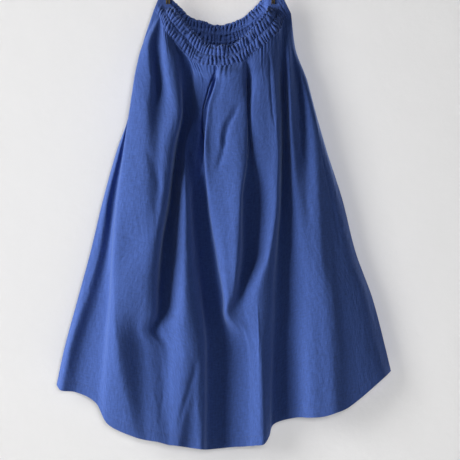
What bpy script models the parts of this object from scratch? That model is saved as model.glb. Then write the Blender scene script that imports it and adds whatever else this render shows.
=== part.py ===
"""A blue cotton skirt, tucked and gathered into an elastic waistband, held up by a wooden clip hanger.

Metres, with +Z up. The front of the skirt faces -Y, and +X is to the right as seen from in front.
The origin is the inner top of the hook, which is the point that the whole thing hangs from.
Each piece of cloth is a wall of even thickness about a middle surface, which is worked out here
from a short table of fold lines.
"""

import math
from collections import namedtuple

import bmesh
import bpy
import numpy as np

MM = 0.001

# The tables below are in millimetres and give each place as it is seen from in front:
# across to the right of the hook, drop below the clip line, and out from the hanger towards the viewer.
CLIP_LINE_DROP = 140.0
SEEN_FROM = 3200.0
EYE_ACROSS = 20.0
EYE_DROP = 460.0

# Cloth
PANEL_WALL = 1.6
BAND_WALL = 2.4
SEAM_GAP = 1.0
SIDE_SEAM_GAP = 1.4
TOP_SEAM_GAP = 3.0
COLUMN_PITCH = 17.0
TOP_PITCH = 6.5
FRONT_ROWS = 20
BACK_ROWS = 13
ROW_CROWDING = 1.35
GATHER_DEPTH = 1.3
GATHER_REACH = 34.0
GATHERS_FULL_BY = 45.0

# Waistband
WAVE_PITCH = 8.0
COLUMNS_PER_WAVE = 3
WAVE_DEPTH = 1.5
PUFF = 1.3
FLAT_ROUND_CLIP = 5.0
FLAT_BY_CLIP = 12.0
HALF_PINCH = 1.5
BAND_END_FLAT = 24.0
BAND_CURVE_STEPS = 24
WAVE_DRIFT = 0.9
WAVE_DRIFT_LENGTH = 23.0

# Hanger
BAR_LENGTH = 300.0
BAR_HEIGHT = 20.0
BAR_DEPTH = 12.0
BAR_DROP = -50.0
BAR_ROUNDING = 4.0
BAR_ROUNDING_STEPS = 3
WIRE = 3.0
SHANK_IN_BAR = 8.0
HOOK_RADIUS = 19.0
HOOK_STARTS_AT = -60
HOOK_ENDS_AT = 195
HOOK_STEP = 15
NECK_BELOW_EYE = 6.0
NECK_BEND_ACROSS = 2.0
NECK_BEND_UP = 4.0
CLIP_WALL = 1.2
CLIP_GRIP_DROP = 9.0
CLIP_ROOM = 0.3
CLIP_CORNER = 2.5
JAW_LENGTH = 24.0
JAW_LIP = 0.8
JAW_LIP_LENGTH = 3.0
ARM_BELOW_BAR = 6.0
PRONG_GAP = 2.2
PRONG_LENGTH = 9.0

Clip = namedtuple("Clip", "name across width")
CLIPS = (
    Clip("clip_left", -104.0, 8.0),
    Clip("clip_right", 106.0, 6.4),
)

# One row for each place along the waistband, left to right: its top edge, then its lower edge.
BandRow = namedtuple("BandRow", "top_across top_drop top_out low_across low_drop low_out")
FRONT_BAND = (
    BandRow(-114, -24, 1.5, -132, 20, 1.5),
    BandRow(-104, -8, 1.5, -120, 37, 2.0),
    BandRow(-86, 24, 6, -109, 62, 8),
    BandRow(-64, 48, 14, -90, 86, 20),
    BandRow(-46, 68, 21, -68, 110, 28),
    BandRow(-30, 84, 25, -46, 127, 34),
    BandRow(-6, 92, 27, -8, 131, 38),
    BandRow(22, 90, 26, 32, 128, 37),
    BandRow(46, 75, 22, 64, 108, 32),
    BandRow(68, 52, 16, 92, 86, 24),
    BandRow(90, 26, 8.5, 116, 66, 12),
    BandRow(106, -8, 1.5, 129, 39, 2.0),
    BandRow(120, -18, 1.5, 142, 28, 1.5),
)
BACK_BAND = (
    BandRow(-114, -24, -1.5, -132, 20, -1.5),
    BandRow(-104, -10, -1.5, -120, 34, -2.0),
    BandRow(-78, 16, -8, -96, 54, -8),
    BandRow(-56, 36, -15, -72, 74, -14),
    BandRow(-32, 43, -19, -40, 83, -18),
    BandRow(-6, 50, -20, -6, 89, -19),
    BandRow(20, 46, -20, 26, 85, -19),
    BandRow(46, 34, -18, 60, 70, -17),
    BandRow(68, 16, -13, 88, 50, -13),
    BandRow(86, -2, -8, 110, 40, -8),
    BandRow(106, -12, -1.5, 128, 34, -2.0),
    BandRow(120, -18, -1.5, 142, 28, -1.5),
)

# One row for each fold line of the front panel, left to right. Each runs from the waistband to the hem,
# and is given across and out at the shoulder, which is half way down to the first level, at each level,
# and at the hem. Valleys are the rows whose out is less than that of the rows beside them.
LEVELS = (160, 220, 300, 400, 500, 600, 700)
FoldLine = namedtuple("FoldLine", "name band hem across out")
FRONT_FOLDS = (
    FoldLine("side seam, left", -132, 770,
             (-154, -166, -178, -206, -234, -258, -285, -312, -327),
             (-3, -5, -7, -8, -8, -9, -10, -10, -10)),
    FoldLine("strip behind the first tuck", -129.8, 781,
             (-155, -167, -180, -201, -226, -240, -270, -300, -318),
             (4, 4, 5, 7, 9, 7, 10, 13, 12)),
    FoldLine("first valley", -127.6, 784,
             (-153.6, -165, -177.6, -194, -213, -224, -244, -282, -296),
             (6, 6, 6, 4, 2, 0, 0, 2, 7)),
    FoldLine("under the first tuck", -125.4, 798,
             (-152.4, -164, -176.4, -191, -207, -218, -227, -240, -252),
             (8, 8, 9, 9, 7, 7, 8, 11, 12)),
    FoldLine("first tuck, edge", -123.2, 812,
             (-157, -171.6, -182, -192.4, -204, -214, -218, -224, -230),
             (12, 15, 17, 22, 24, 24, 26, 30, 27)),
    FoldLine("first tuck, crest", -121, 852,
             (-144, -142.8, -155.6, -168, -164, -186, -206, -210, -200),
             (24, 28, 32.6, 38, 40, 32, 33, 39, 39)),
    FoldLine("left hollow", -118, 873,
             (-125, -126, -132, -137, -136, -154, -174, -173, -164),
             (14, 12, 24, 34, 36, 43, 38, 18, 34)),
    FoldLine("second tuck, crest", -113, 880,
             (-108, -102, -100, -118, -123, -138, -150, -143, -138),
             (28, 29, 35, 38.5, 37.5, 43, 38, 24.5, 37)),
    FoldLine("second tuck, edge", -102, 885,
             (-92, -82, -79, -98, -108, -124, -134, -124, -120),
             (26, 25, 29, 34, 32, 33, 30, 22, 36)),
    FoldLine("first deep valley, left", -95, 887,
             (-79, -67, -66, -86, -98, -114, -121, -108, -108),
             (14, 10, 4, 3, 2, 3, 6, 25, 37)),
    FoldLine("first deep valley, right", -82, 889,
             (-63, -56, -54, -74, -86, -98, -104, -92, -97),
             (18, 8, 2, 4, 6, 6, 9, 34, 39.5)),
    FoldLine("third tuck, crest", -65, 890.5,
             (-48, -38, -42, -64, -68, -75, -72, -73, -85),
             (27, 16, 8, 10, 26, 32, 38, 41, 39)),
    FoldLine("third tuck, edge", -44, 893,
             (-31.4, -26, -36, -56, -59, -60, -58, -59, -68),
             (33, 19, 12, 8, 20, 26, 31, 35, 31)),
    FoldLine("third tuck, lower ridge", -24, 897,
             (-20.6, -18, -32, -44, -52, -50, -46, -40, -46),
             (34, 20, 13, 5, 9, 13, 18, 25, 37)),
    FoldLine("second deep valley, left", -12, 897.5,
             (-12.8, -12.4, -28.8, -34, -42, -40, -33, -24, -24),
             (31.5, 18, 12.5, 4, 2, 1, 2, 7, 18)),
    FoldLine("second deep valley, right", -6, 895,
             (-8, -8, -25.2, -30.8, -22.8, -13.6, 0.4, 10.8, 8),
             (29.5, 17, 13, 5.5, 3, 3, 5, 3, 8)),
    FoldLine("fourth tuck, edge", -2, 894,
             (-4, -4, -21.2, -25.6, -15.6, -6, 8, 22, 20),
             (36, 25, 20, 14.5, 12.5, 17.5, 23, 5, 10)),
    FoldLine("fourth tuck, face", 5, 893.5,
             (2, 3, -14, -17.6, -8, 0.8, 13, 31, 30),
             (38, 30, 26, 24, 24, 29, 30, 9, 13)),
    FoldLine("middle, left", 16, 893,
             (14, 16, 6, -0.8, 8.8, 12.8, 18.4, 39, 40),
             (39, 34, 32, 29.4, 31.4, 35, 31, 13, 16)),
    FoldLine("middle, crest", 32, 892,
             (32, 32, 34, 35, 33, 30, 26, 52, 56),
             (39, 34, 35, 36, 38, 38, 28, 15.5, 20.5)),
    FoldLine("fifth tuck, edge", 46, 892,
             (47, 47.6, 52, 51.8, 42, 39, 32.4, 60, 66),
             (36, 30, 33, 33, 37, 35, 25, 20, 25)),
    FoldLine("third deep valley, left", 51, 891,
             (52, 54, 56, 56.4, 47.6, 49, 38.4, 66, 72),
             (28, 18, 23, 13, 12, 12, 21, 24, 28)),
    FoldLine("third deep valley, right", 55, 891,
             (58, 62, 60, 60.8, 70, 67, 46, 71, 78),
             (27, 17, 22, 13, 9, 9, 21, 27, 31)),
    FoldLine("sixth tuck, left", 64, 890.5,
             (67, 70, 64.8, 67.4, 88, 83, 58, 76, 82.6),
             (34, 31, 31, 25, 16, 20, 27, 30.5, 33)),
    FoldLine("sixth tuck, crest", 84, 889,
             (84, 88, 92, 102, 107, 96, 76, 83, 88),
             (34, 34, 33, 31, 31, 33, 35, 32, 33)),
    FoldLine("sixth tuck, flank", 106, 873,
             (108, 111, 114, 117, 116, 106, 98, 97, 96.6),
             (28, 30, 31, 32, 27, 25, 28, 20, 23)),
    FoldLine("fourth deep valley, left", 118, 843,
             (122, 122, 126, 125, 124, 118, 115, 111, 107),
             (14, 13, 12, 8, 5, 4, 4, 3, 8)),
    FoldLine("fourth deep valley, right", 125, 835.5,
             (128, 128.4, 133, 134, 134.6, 132.4, 132, 136, 138.4),
             (12, 10, 10, 8, 6, 5.5, 5.4, 4.5, 7)),
    FoldLine("seventh tuck, crest", 131, 835.5,
             (137, 140, 142, 146, 158.6, 170, 176, 176, 178),
             (14, 21, 24, 23, 24, 26.5, 31.5, 36, 37)),
    FoldLine("fifth valley", 134.5, 833.5,
             (143, 154, 162, 170, 176, 186, 194, 199, 208),
             (9, 5, 6, 10, 22, 26.5, 31.5, 35.5, 37)),
    FoldLine("eighth tuck, crest", 137, 825.5,
             (146, 164, 180, 190, 196, 202, 210, 222, 230),
             (7, 8, 12, 17, 23.5, 25.5, 30, 32, 33.5)),
    FoldLine("end of the front", 139, 816,
             (148, 169, 186, 202, 209, 220, 230, 240, 254),
             (4, 6, 9, 13, 16, 16, 24, 25, 24)),
    FoldLine("side, right", 140.6, 755,
             (149.2, 173, 189, 211, 235, 257, 289, 310, 329),
             (1, 1, 2, 4, 4, 5, 7, 8, 7)),
    FoldLine("side seam, right", 142, 742,
             (150, 174, 190, 213, 245, 270, 306, 332, 342),
             (-3, -5, -6, -7, -8, -9, -10, -10, -10)),
)

# One row for each fold line of the back panel between its side seams, as shares of the panel's width
# at the waistband and at the hem, with how far behind the hanger it stands near the top and at the hem.
BackFold = namedtuple("BackFold", "at_band at_hem upper lower hem")
BACK_FOLDS = (
    BackFold(0.04, 0.03, 15, 18, 774),
    BackFold(0.11, 0.09, 27, 37, 786),
    BackFold(0.18, 0.17, 20, 24, 802),
    BackFold(0.26, 0.26, 32, 42, 828),
    BackFold(0.33, 0.34, 22, 27, 842),
    BackFold(0.41, 0.42, 31, 44, 850),
    BackFold(0.47, 0.49, 22, 25, 852),
    BackFold(0.55, 0.56, 33, 42, 844),
    BackFold(0.61, 0.63, 23, 27, 830),
    BackFold(0.70, 0.71, 32, 43, 818),
    BackFold(0.77, 0.79, 21, 24, 806),
    BackFold(0.85, 0.88, 28, 37, 786),
    BackFold(0.95, 0.96, 14, 17, 756),
)
BACK_SETTLES_BY = 0.2

CLOTH_BLUE = (0.055, 0.105, 0.36, 1.0)
BAND_BLUE = (0.05, 0.095, 0.33, 1.0)
BEECH = (0.62, 0.43, 0.27, 1.0)
BRASS = (0.70, 0.52, 0.24, 1.0)


def clear_scene():
    for obj in list(bpy.data.objects):
        bpy.data.objects.remove(obj, do_unlink=True)


def finish_of(name, colour, roughness, metallic):
    material = bpy.data.materials.new(name)
    material.use_nodes = True
    shader = material.node_tree.nodes["Principled BSDF"]
    shader.inputs["Base Color"].default_value = colour
    shader.inputs["Roughness"].default_value = roughness
    shader.inputs["Metallic"].default_value = metallic
    return material


def eased(share):
    share = np.clip(share, 0.0, 1.0)
    return share * share * (3 - 2 * share)


def between(knots, values, at):
    """Values on a smooth curve through the knots that never swings past them."""
    knots, values, at = (np.asarray(a, float) for a in (knots, values, at))
    gap = np.diff(knots)
    slope = np.diff(values) / gap
    lean = np.empty(len(knots))
    lean[0], lean[-1] = slope[0], slope[-1]
    same_way = slope[:-1] * slope[1:] > 0
    mean = 2 * slope[:-1] * slope[1:] / np.where(same_way, slope[:-1] + slope[1:], 1.0)
    lean[1:-1] = np.where(same_way, mean, 0.0)
    i = np.clip(np.searchsorted(knots, at, side="right") - 1, 0, len(gap) - 1)
    s = (at - knots[i]) / gap[i]
    start = (1 + 2 * s) * (1 - s) ** 2 * values[i] + s * (1 - s) ** 2 * gap[i] * lean[i]
    end = s * s * (3 - 2 * s) * values[i + 1] + s * s * (s - 1) * gap[i] * lean[i + 1]
    return start + end


def through(points, steps):
    """A smooth curve through the points, with steps[i] steps from point i to the next."""
    points = np.asarray(points, float)
    gap = np.sqrt(np.maximum(np.linalg.norm(np.diff(points, axis=0), axis=1), 1e-6))[:, None]
    slope = np.diff(points, axis=0) / gap
    lean = np.empty_like(points)
    lean[0], lean[-1] = slope[0], slope[-1]
    whole = (points[2:] - points[:-2]) / (gap[:-1] + gap[1:])
    lean[1:-1] = slope[:-1] - whole + slope[1:]
    made = [points[:1]]
    for i, count in enumerate(steps):
        s = (np.arange(count) + 1)[:, None] / count
        start = (1 + 2 * s) * (1 - s) ** 2 * points[i] + s * (1 - s) ** 2 * gap[i] * lean[i]
        end = s * s * (3 - 2 * s) * points[i + 1] + s * s * (s - 1) * gap[i] * lean[i + 1]
        made.append(start + end)
    return np.concatenate(made)


def as_built(seen):
    """Metres in the part's frame, from (across, out, drop) as seen from in front."""
    across, out, drop = np.moveaxis(np.asarray(seen, float), -1, 0)
    nearer = 1 - out / SEEN_FROM
    x = EYE_ACROSS + (across - EYE_ACROSS) * nearer
    z = -CLIP_LINE_DROP - EYE_DROP - (drop - EYE_DROP) * nearer
    return np.stack([x, -out, z], axis=-1) * MM


def triangles_over(middle):
    """Two triangles for each square of a grid of points, split along its shorter diagonal."""
    rows, columns = middle.shape[:2]
    index = np.arange(rows * columns).reshape(rows, columns)
    rings = np.stack([index[:-1, :-1], index[:-1, 1:], index[1:, 1:], index[1:, :-1]], axis=-1)
    falling = np.linalg.norm(middle[:-1, :-1] - middle[1:, 1:], axis=-1)
    rising = np.linalg.norm(middle[:-1, 1:] - middle[1:, :-1], axis=-1)
    turned = np.where((rising < falling)[..., None], np.roll(rings, -1, axis=-1), rings).reshape(-1, 4)
    return np.concatenate([turned[:, [0, 1, 2]], turned[:, [2, 3, 0]]])


def facing(middle):
    """The unit vector square to the surface at each of its points, towards -Y on the front."""
    points = middle.reshape(-1, 3)
    triangles = triangles_over(middle)
    a, b, c = (points[triangles[:, k]] for k in range(3))
    flat = np.cross(c - a, b - a)
    flat /= np.linalg.norm(flat, axis=1, keepdims=True)
    square = np.zeros_like(points)
    for k in range(3):
        np.add.at(square, triangles[:, k], flat)
    square /= np.linalg.norm(square, axis=1, keepdims=True)
    return square.reshape(middle.shape)


def made_object(name, mesh, material):
    mesh.materials.append(material)
    mesh.shade_smooth()
    obj = bpy.data.objects.new(name, mesh)
    bpy.context.scene.collection.objects.link(obj)
    return obj


def outward(mesh):
    shape = bmesh.new()
    shape.from_mesh(mesh)
    bmesh.ops.recalc_face_normals(shape, faces=shape.faces)
    shape.to_mesh(mesh)
    shape.free()


def cloth_wall(name, middle, square, wall, material):
    """A closed wall of even thickness about a grid of points, with its square direction at each."""
    rows, columns = middle.shape[:2]
    half = square * wall * MM / 2
    points = np.concatenate([(middle + half).reshape(-1, 3), (middle - half).reshape(-1, 3)])
    other = rows * columns
    front = triangles_over(middle)
    faces = front[:, ::-1].tolist() + (front + other).tolist()

    def at(row, column):
        return row * columns + column

    edge = [at(0, c) for c in range(columns)]
    edge += [at(r, columns - 1) for r in range(1, rows)]
    edge += [at(rows - 1, c) for c in range(columns - 2, -1, -1)]
    edge += [at(r, 0) for r in range(rows - 2, 0, -1)]
    for a, b in zip(edge, edge[1:] + edge[:1]):
        faces.append((b, a, other + a, other + b))
    mesh = bpy.data.meshes.new(name)
    mesh.from_pydata(points.tolist(), [], faces)
    outward(mesh)
    return made_object(name, mesh, material)


def band_edges(rows):
    """The band's top and lower edges, as (across, out, drop) at the same even steps along it."""
    steps = [BAND_CURVE_STEPS] * (len(rows) - 1)
    top = through([(r.top_across, r.top_out, r.top_drop) for r in rows], steps)
    low = through([(r.low_across, r.low_out, r.low_drop) for r in rows], steps)
    run = np.linalg.norm(np.diff((top + low) / 2, axis=0), axis=1)
    length = np.concatenate([[0.0], np.cumsum(run)])
    waves = round(length[-1] / WAVE_PITCH)
    evenly = np.linspace(0, length[-1], waves * COLUMNS_PER_WAVE + 1)

    def spaced(edge):
        return np.stack([np.interp(evenly, length, edge[:, k]) for k in range(3)], axis=-1)

    return spaced(top), spaced(low), evenly


# How far each row of the band stands out beyond its middle surface, and how deep its gathers are:
# top edge, upper channel, stitching between the channels, lower channel, seam with the panel.
BandLevel = namedtuple("BandLevel", "share puff gather")
BAND_LEVELS = (
    BandLevel(0.0, 0.0, 0.9),
    BandLevel(0.26, 1.0, 1.0),
    BandLevel(0.5, 0.1, 0.45),
    BandLevel(0.74, 1.0, 1.0),
    BandLevel(1.0, 0.0, 0.7),
)


def clear_of_clips(seen):
    """0 where a clip's jaws press the band flat, rising to 1 a little way from them."""
    free = np.ones(seen.shape[:-1])
    for clip_row in CLIPS:
        aside = np.maximum(np.abs(seen[..., 0] - clip_row.across) - clip_row.width / 2, 0)
        under = np.maximum(seen[..., 2] - CLIP_GRIP_DROP, 0)
        free = np.minimum(free, eased((np.hypot(aside, under) - FLAT_ROUND_CLIP) / FLAT_BY_CLIP))
    return free


def waistband(name, rows, side, material):
    """One half of the band; side is 1 on the front and -1 on the back."""
    top, low, along = band_edges(rows)
    seen = np.stack([top + (low - top) * level.share for level in BAND_LEVELS])
    free = clear_of_clips(seen)
    pressed_out = side * HALF_PINCH
    seen[..., 1] = pressed_out + (seen[..., 1] - pressed_out) * free
    ends = np.minimum(along, along[-1] - along)
    free *= eased((ends - WAVE_PITCH / 4) / BAND_END_FLAT)
    wave = np.sin(2 * math.pi * along / WAVE_PITCH + WAVE_DRIFT * np.sin(along / WAVE_DRIFT_LENGTH))
    puff = np.array([level.puff for level in BAND_LEVELS])[:, None] * PUFF
    gather = np.array([level.gather for level in BAND_LEVELS])[:, None] * WAVE_DEPTH
    middle = as_built(seen)
    middle += facing(middle) * (free * (side * puff + gather * wave) * MM)[..., None]
    return cloth_wall(name, middle, facing(middle), BAND_WALL, material)


def seam_under(rows):
    """Two functions of across: the place of the panel's top edge, and its square direction there."""
    top, low, _ = band_edges(rows)
    downward = low - top
    downward /= np.linalg.norm(downward, axis=1, keepdims=True)
    edge = low + downward * SEAM_GAP
    square = facing(np.stack([as_built(top), as_built(low)]))[1]

    def place(across):
        out, drop = (np.interp(across, edge[:, 0], edge[:, k]) for k in (1, 2))
        return np.stack([across, out, drop], axis=-1)

    def direction(across):
        return np.stack([np.interp(across, edge[:, 0], square[:, k]) for k in range(3)], axis=-1)

    return place, direction


def front_line(fold, seam, share):
    """The fold line's (across, out, drop) at shares of the way from the band to the hem."""
    start = seam[0](np.array(float(fold.band)))
    drops = (start[2], (start[2] + LEVELS[0]) / 2, *LEVELS, fold.hem)
    drop = start[2] + share * (fold.hem - start[2])
    across = between(drops, (start[0], *fold.across), drop)
    out = between(drops, (start[1], *fold.out), drop)
    return np.stack([across, out, drop], axis=-1)


def steps_between(lines):
    """How many columns each stretch between two fold lines needs, from its width at either end."""
    top = np.linalg.norm(np.diff(lines[:, 0], axis=0), axis=1) / TOP_PITCH
    hem = np.linalg.norm(np.diff(lines[:, -1], axis=0), axis=1) / COLUMN_PITCH
    return [max(2, math.ceil(count)) for count in np.maximum(top, hem)]


def panel(name, lines, seam, material):
    """The cloth between the fold lines, gathered along its top edge."""
    lines = np.array(lines)
    steps = steps_between(lines)
    seen = np.stack([through(lines[:, row], steps) for row in range(lines.shape[1])])
    seen[0] = seam[0](seen[0, :, 0])
    middle = as_built(seen)
    square = facing(middle)
    square[0] = seam[1](seen[0, :, 0])
    down = (seen[:, :, 2] - seen[0, :, 2]) / GATHER_REACH
    alternate = np.where(np.arange(seen.shape[1]) % 2, 1.0, -1.0)
    alternate[[0, -1]] = 0.0
    ends = np.minimum(seen[0, :, 0] - seen[0, 0, 0], seen[0, -1, 0] - seen[0, :, 0])
    depth = GATHER_DEPTH * (1 - eased(down)) * alternate * eased(ends / GATHERS_FULL_BY)
    middle += square * (depth * MM)[..., None]
    square[1:] = facing(middle)[1:]
    return cloth_wall(name, middle, square, PANEL_WALL, material)


def row_shares(rows):
    """Shares of the way down, closer together near the gathers."""
    return np.linspace(0, 1, rows) ** ROW_CROWDING


def skirt_front(material):
    seam = seam_under(FRONT_BAND)
    lines = [front_line(fold, seam, row_shares(FRONT_ROWS)) for fold in FRONT_FOLDS]
    return panel("skirt_front", lines, seam, material)


def skirt_back(material):
    """The back panel runs between the front panel's side seams, just behind them."""
    share = row_shares(BACK_ROWS)
    front_seam = seam_under(FRONT_BAND)
    seam = seam_under(BACK_BAND)
    sides = []
    for fold in (FRONT_FOLDS[0], FRONT_FOLDS[-1]):
        line = front_line(fold, front_seam, share)
        settled = eased(share / BACK_SETTLES_BY)
        line[:, 1] -= SIDE_SEAM_GAP + (TOP_SEAM_GAP - SIDE_SEAM_GAP) * (1 - settled)
        sides.append(line)
    left, right = sides
    lines = [left]
    for fold in BACK_FOLDS:
        at = fold.at_band + (fold.at_hem - fold.at_band) * share
        across = left[:, 0] + (right[:, 0] - left[:, 0]) * at
        start = seam[0](across[0])
        drop = start[2] + share * (fold.hem - start[2])
        out = between((0, BACK_SETTLES_BY, 1), (start[1], -fold.upper, -fold.lower), share)
        lines.append(np.stack([across, out, drop], axis=-1))
    lines.append(right)
    return panel("skirt_back", lines, seam, material)


def boolean_cut(obj, cutter):
    cutter.hide_render = True
    cutter.display_type = "WIRE"
    cut = obj.modifiers.new("cut", "BOOLEAN")
    cut.operation = "DIFFERENCE"
    cut.object = cutter


def box_mesh(name, size):
    shape = bmesh.new()
    bmesh.ops.create_cube(shape, size=1.0)
    bmesh.ops.scale(shape, vec=[side * MM for side in size], verts=shape.verts)
    mesh = bpy.data.meshes.new(name)
    shape.to_mesh(mesh)
    shape.free()
    return mesh


def hanger_bar(material):
    bar = made_object("hanger_bar", box_mesh("hanger_bar", (BAR_LENGTH, BAR_DEPTH, BAR_HEIGHT)), material)
    bar.location = (0, 0, -(CLIP_LINE_DROP + BAR_DROP) * MM)
    rounding = bar.modifiers.new("rounding", "BEVEL")
    rounding.width = BAR_ROUNDING * MM
    rounding.segments = BAR_ROUNDING_STEPS
    shape = bmesh.new()
    bmesh.ops.create_cone(
        shape,
        cap_ends=True,
        segments=16,
        radius1=(WIRE / 2 + CLIP_ROOM) * MM,
        radius2=(WIRE / 2 + CLIP_ROOM) * MM,
        depth=2 * (SHANK_IN_BAR + CLIP_ROOM) * MM,
    )
    mesh = bpy.data.meshes.new("hook_hole")
    shape.to_mesh(mesh)
    shape.free()
    hole = made_object("hook_hole", mesh, material)
    hole.location = (0, 0, bar.location.z + BAR_HEIGHT * MM / 2)
    boolean_cut(bar, hole)
    return bar


def hook_route():
    """From the end in the bar, up the shank, round the eye to its open tail, in millimetres (x, z)."""
    foot = -(CLIP_LINE_DROP + BAR_DROP) + BAR_HEIGHT / 2 - SHANK_IN_BAR
    centre = WIRE / 2 - HOOK_RADIUS
    neck = centre - HOOK_RADIUS - NECK_BELOW_EYE
    route = [(0.0, foot), (0.0, (foot + neck) / 2), (0.0, neck)]
    route.append((NECK_BEND_ACROSS, neck + NECK_BEND_UP))
    for degrees in range(HOOK_STARTS_AT, HOOK_ENDS_AT + 1, HOOK_STEP):
        angle = math.radians(degrees)
        route.append((HOOK_RADIUS * math.cos(angle), centre + HOOK_RADIUS * math.sin(angle)))
    return route


def hanger_hook(material):
    route = through([(x, 0.0, z) for x, z in hook_route()], [2] * (len(hook_route()) - 1))
    curve = bpy.data.curves.new("hanger_hook", "CURVE")
    curve.dimensions = "3D"
    curve.bevel_depth = WIRE / 2 * MM
    curve.bevel_resolution = 2
    curve.use_fill_caps = True
    spline = curve.splines.new("POLY")
    spline.points.add(len(route) - 1)
    for point, place in zip(spline.points, route):
        point.co = (*(place * MM), 1.0)
    curve.materials.append(material)
    hook = bpy.data.objects.new("hanger_hook", curve)
    bpy.context.scene.collection.objects.link(hook)
    return hook


def strip_outline(path, wall):
    """The closed outline of a strip of even thickness along a path in the (y, z) plane."""
    path = np.asarray(path, float)
    along = np.diff(path, axis=0)
    along /= np.linalg.norm(along, axis=1, keepdims=True)
    square = np.stack([-along[:, 1], along[:, 0]], axis=1)
    mitre = np.concatenate([square[:1], square[:-1] + square[1:], square[-1:]])
    mitre /= np.linalg.norm(mitre, axis=1, keepdims=True)
    reach = 1 / np.maximum((mitre * np.concatenate([square[:1], square])).sum(axis=1), 0.5)
    shift = mitre * reach[:, None] * wall / 2
    return np.concatenate([path + shift, (path - shift)[::-1]])


def clip_path():
    """Half of a clip, from its jaw's tip up to the middle of the bar's top, as (y, z) behind the bar."""
    bar = -(CLIP_LINE_DROP + BAR_DROP)
    grip = HALF_PINCH + BAND_WALL / 2 + CLIP_ROOM + CLIP_WALL / 2
    tip = -CLIP_LINE_DROP - CLIP_GRIP_DROP
    side = BAR_DEPTH / 2 + CLIP_ROOM + CLIP_WALL / 2
    over = bar + BAR_HEIGHT / 2 + CLIP_ROOM + CLIP_WALL / 2
    return [
        (grip + JAW_LIP, tip),
        (grip, tip + JAW_LIP_LENGTH),
        (grip, tip + JAW_LENGTH),
        (side, bar - BAR_HEIGHT / 2 - ARM_BELOW_BAR),
        (side, over - CLIP_CORNER),
        (side - CLIP_CORNER, over),
    ]


def clip(row, material):
    half = clip_path()
    path = half + [(-y, z) for y, z in reversed(half)]
    outline = strip_outline(path, CLIP_WALL)
    shape = bmesh.new()
    left = [shape.verts.new((-row.width / 2 * MM, y * MM, z * MM)) for y, z in outline]
    face = shape.faces.new(left)
    swept = bmesh.ops.extrude_face_region(shape, geom=[face])
    moved = [item for item in swept["geom"] if isinstance(item, bmesh.types.BMVert)]
    bmesh.ops.translate(shape, vec=(row.width * MM, 0, 0), verts=moved)
    bmesh.ops.recalc_face_normals(shape, faces=shape.faces)
    mesh = bpy.data.meshes.new(row.name)
    shape.to_mesh(mesh)
    shape.free()
    made = made_object(row.name, mesh, material)
    made.location.x = row.across * MM
    mesh.shade_flat()
    notch_size = (PRONG_GAP, 2 * BAR_DEPTH, 2 * PRONG_LENGTH)
    notch = made_object(f"{row.name}_notch", box_mesh("notch", notch_size), material)
    tip = -CLIP_LINE_DROP - CLIP_GRIP_DROP
    notch.location = (row.across * MM, 0, tip * MM)
    boolean_cut(made, notch)
    return made


def build():
    clear_scene()
    cloth = finish_of("skirt_cloth", CLOTH_BLUE, 0.85, 0.0)
    band = finish_of("band_cloth", BAND_BLUE, 0.85, 0.0)
    wood = finish_of("hanger_wood", BEECH, 0.5, 0.0)
    brass = finish_of("hanger_brass", BRASS, 0.3, 1.0)
    waistband("waistband_front", FRONT_BAND, 1, band)
    waistband("waistband_back", BACK_BAND, -1, band)
    skirt_front(cloth)
    skirt_back(cloth)
    hanger_bar(wood)
    hanger_hook(brass)
    for row in CLIPS:
        clip(row, brass)


build()
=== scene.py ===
# %% [markdown]
# # A tucked blue skirt on a clip hanger
# The skirt is one gathered tube of matt blue cotton under a shirred elastic waistband. It hangs from
# two small clips, so its band sags between them and the cloth below falls in deep, soft tucks.
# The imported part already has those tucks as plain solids. Here each piece of cloth is made again on
# much the same fold lines, but finer, and then gets the creases, gathers, hem and stitches that are
# too small for a solid. The part is loaded first, because everything else is placed by it.

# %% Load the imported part
import math
from collections import namedtuple

import bpy
import numpy as np
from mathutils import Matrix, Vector


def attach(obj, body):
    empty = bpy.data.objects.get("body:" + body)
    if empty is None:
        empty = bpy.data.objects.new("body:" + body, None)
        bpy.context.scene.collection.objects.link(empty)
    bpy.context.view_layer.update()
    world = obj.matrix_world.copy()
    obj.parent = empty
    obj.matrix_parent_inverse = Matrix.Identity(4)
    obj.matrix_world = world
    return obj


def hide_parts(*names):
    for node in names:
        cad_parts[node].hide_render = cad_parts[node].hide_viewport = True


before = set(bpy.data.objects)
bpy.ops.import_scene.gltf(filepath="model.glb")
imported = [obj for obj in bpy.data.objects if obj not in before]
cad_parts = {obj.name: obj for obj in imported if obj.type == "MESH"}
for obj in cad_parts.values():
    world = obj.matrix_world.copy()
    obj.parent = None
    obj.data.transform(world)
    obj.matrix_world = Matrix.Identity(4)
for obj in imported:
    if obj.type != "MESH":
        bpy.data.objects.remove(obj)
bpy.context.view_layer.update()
print("nodes:", sorted(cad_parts))

# %% [markdown]
# ## Where things are
# The tables are in millimetres as seen from in front: across from the hook, drop below the clips, and
# out towards the viewer. A near fold looks larger than a far one, so one function takes that
# perspective out again and gives metres in the part's own frame. The garment's sizes are the part's
# own. Some fold places, depths and hem drops below differ from its solids by some millimetres,
# because a closer look at the photograph placed them better.

# %% From what is seen to the part's frame
MM = 0.001
CLIP_LINE_DROP = 140.0
SEEN_FROM = 3200.0
EYE_ACROSS = 20.0
EYE_DROP = 460.0


def as_built(seen):
    """Metres in the part's frame, from (across, out, drop) as seen from in front."""
    across, out, drop = np.moveaxis(np.asarray(seen, float), -1, 0)
    nearer = 1 - out / SEEN_FROM
    x = EYE_ACROSS + (across - EYE_ACROSS) * nearer
    z = -CLIP_LINE_DROP - EYE_DROP - (drop - EYE_DROP) * nearer
    return np.stack([x, -out, z], axis=-1) * MM


print("a point on the clip line is at", as_built((0, 0, 0)).round(3))

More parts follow.
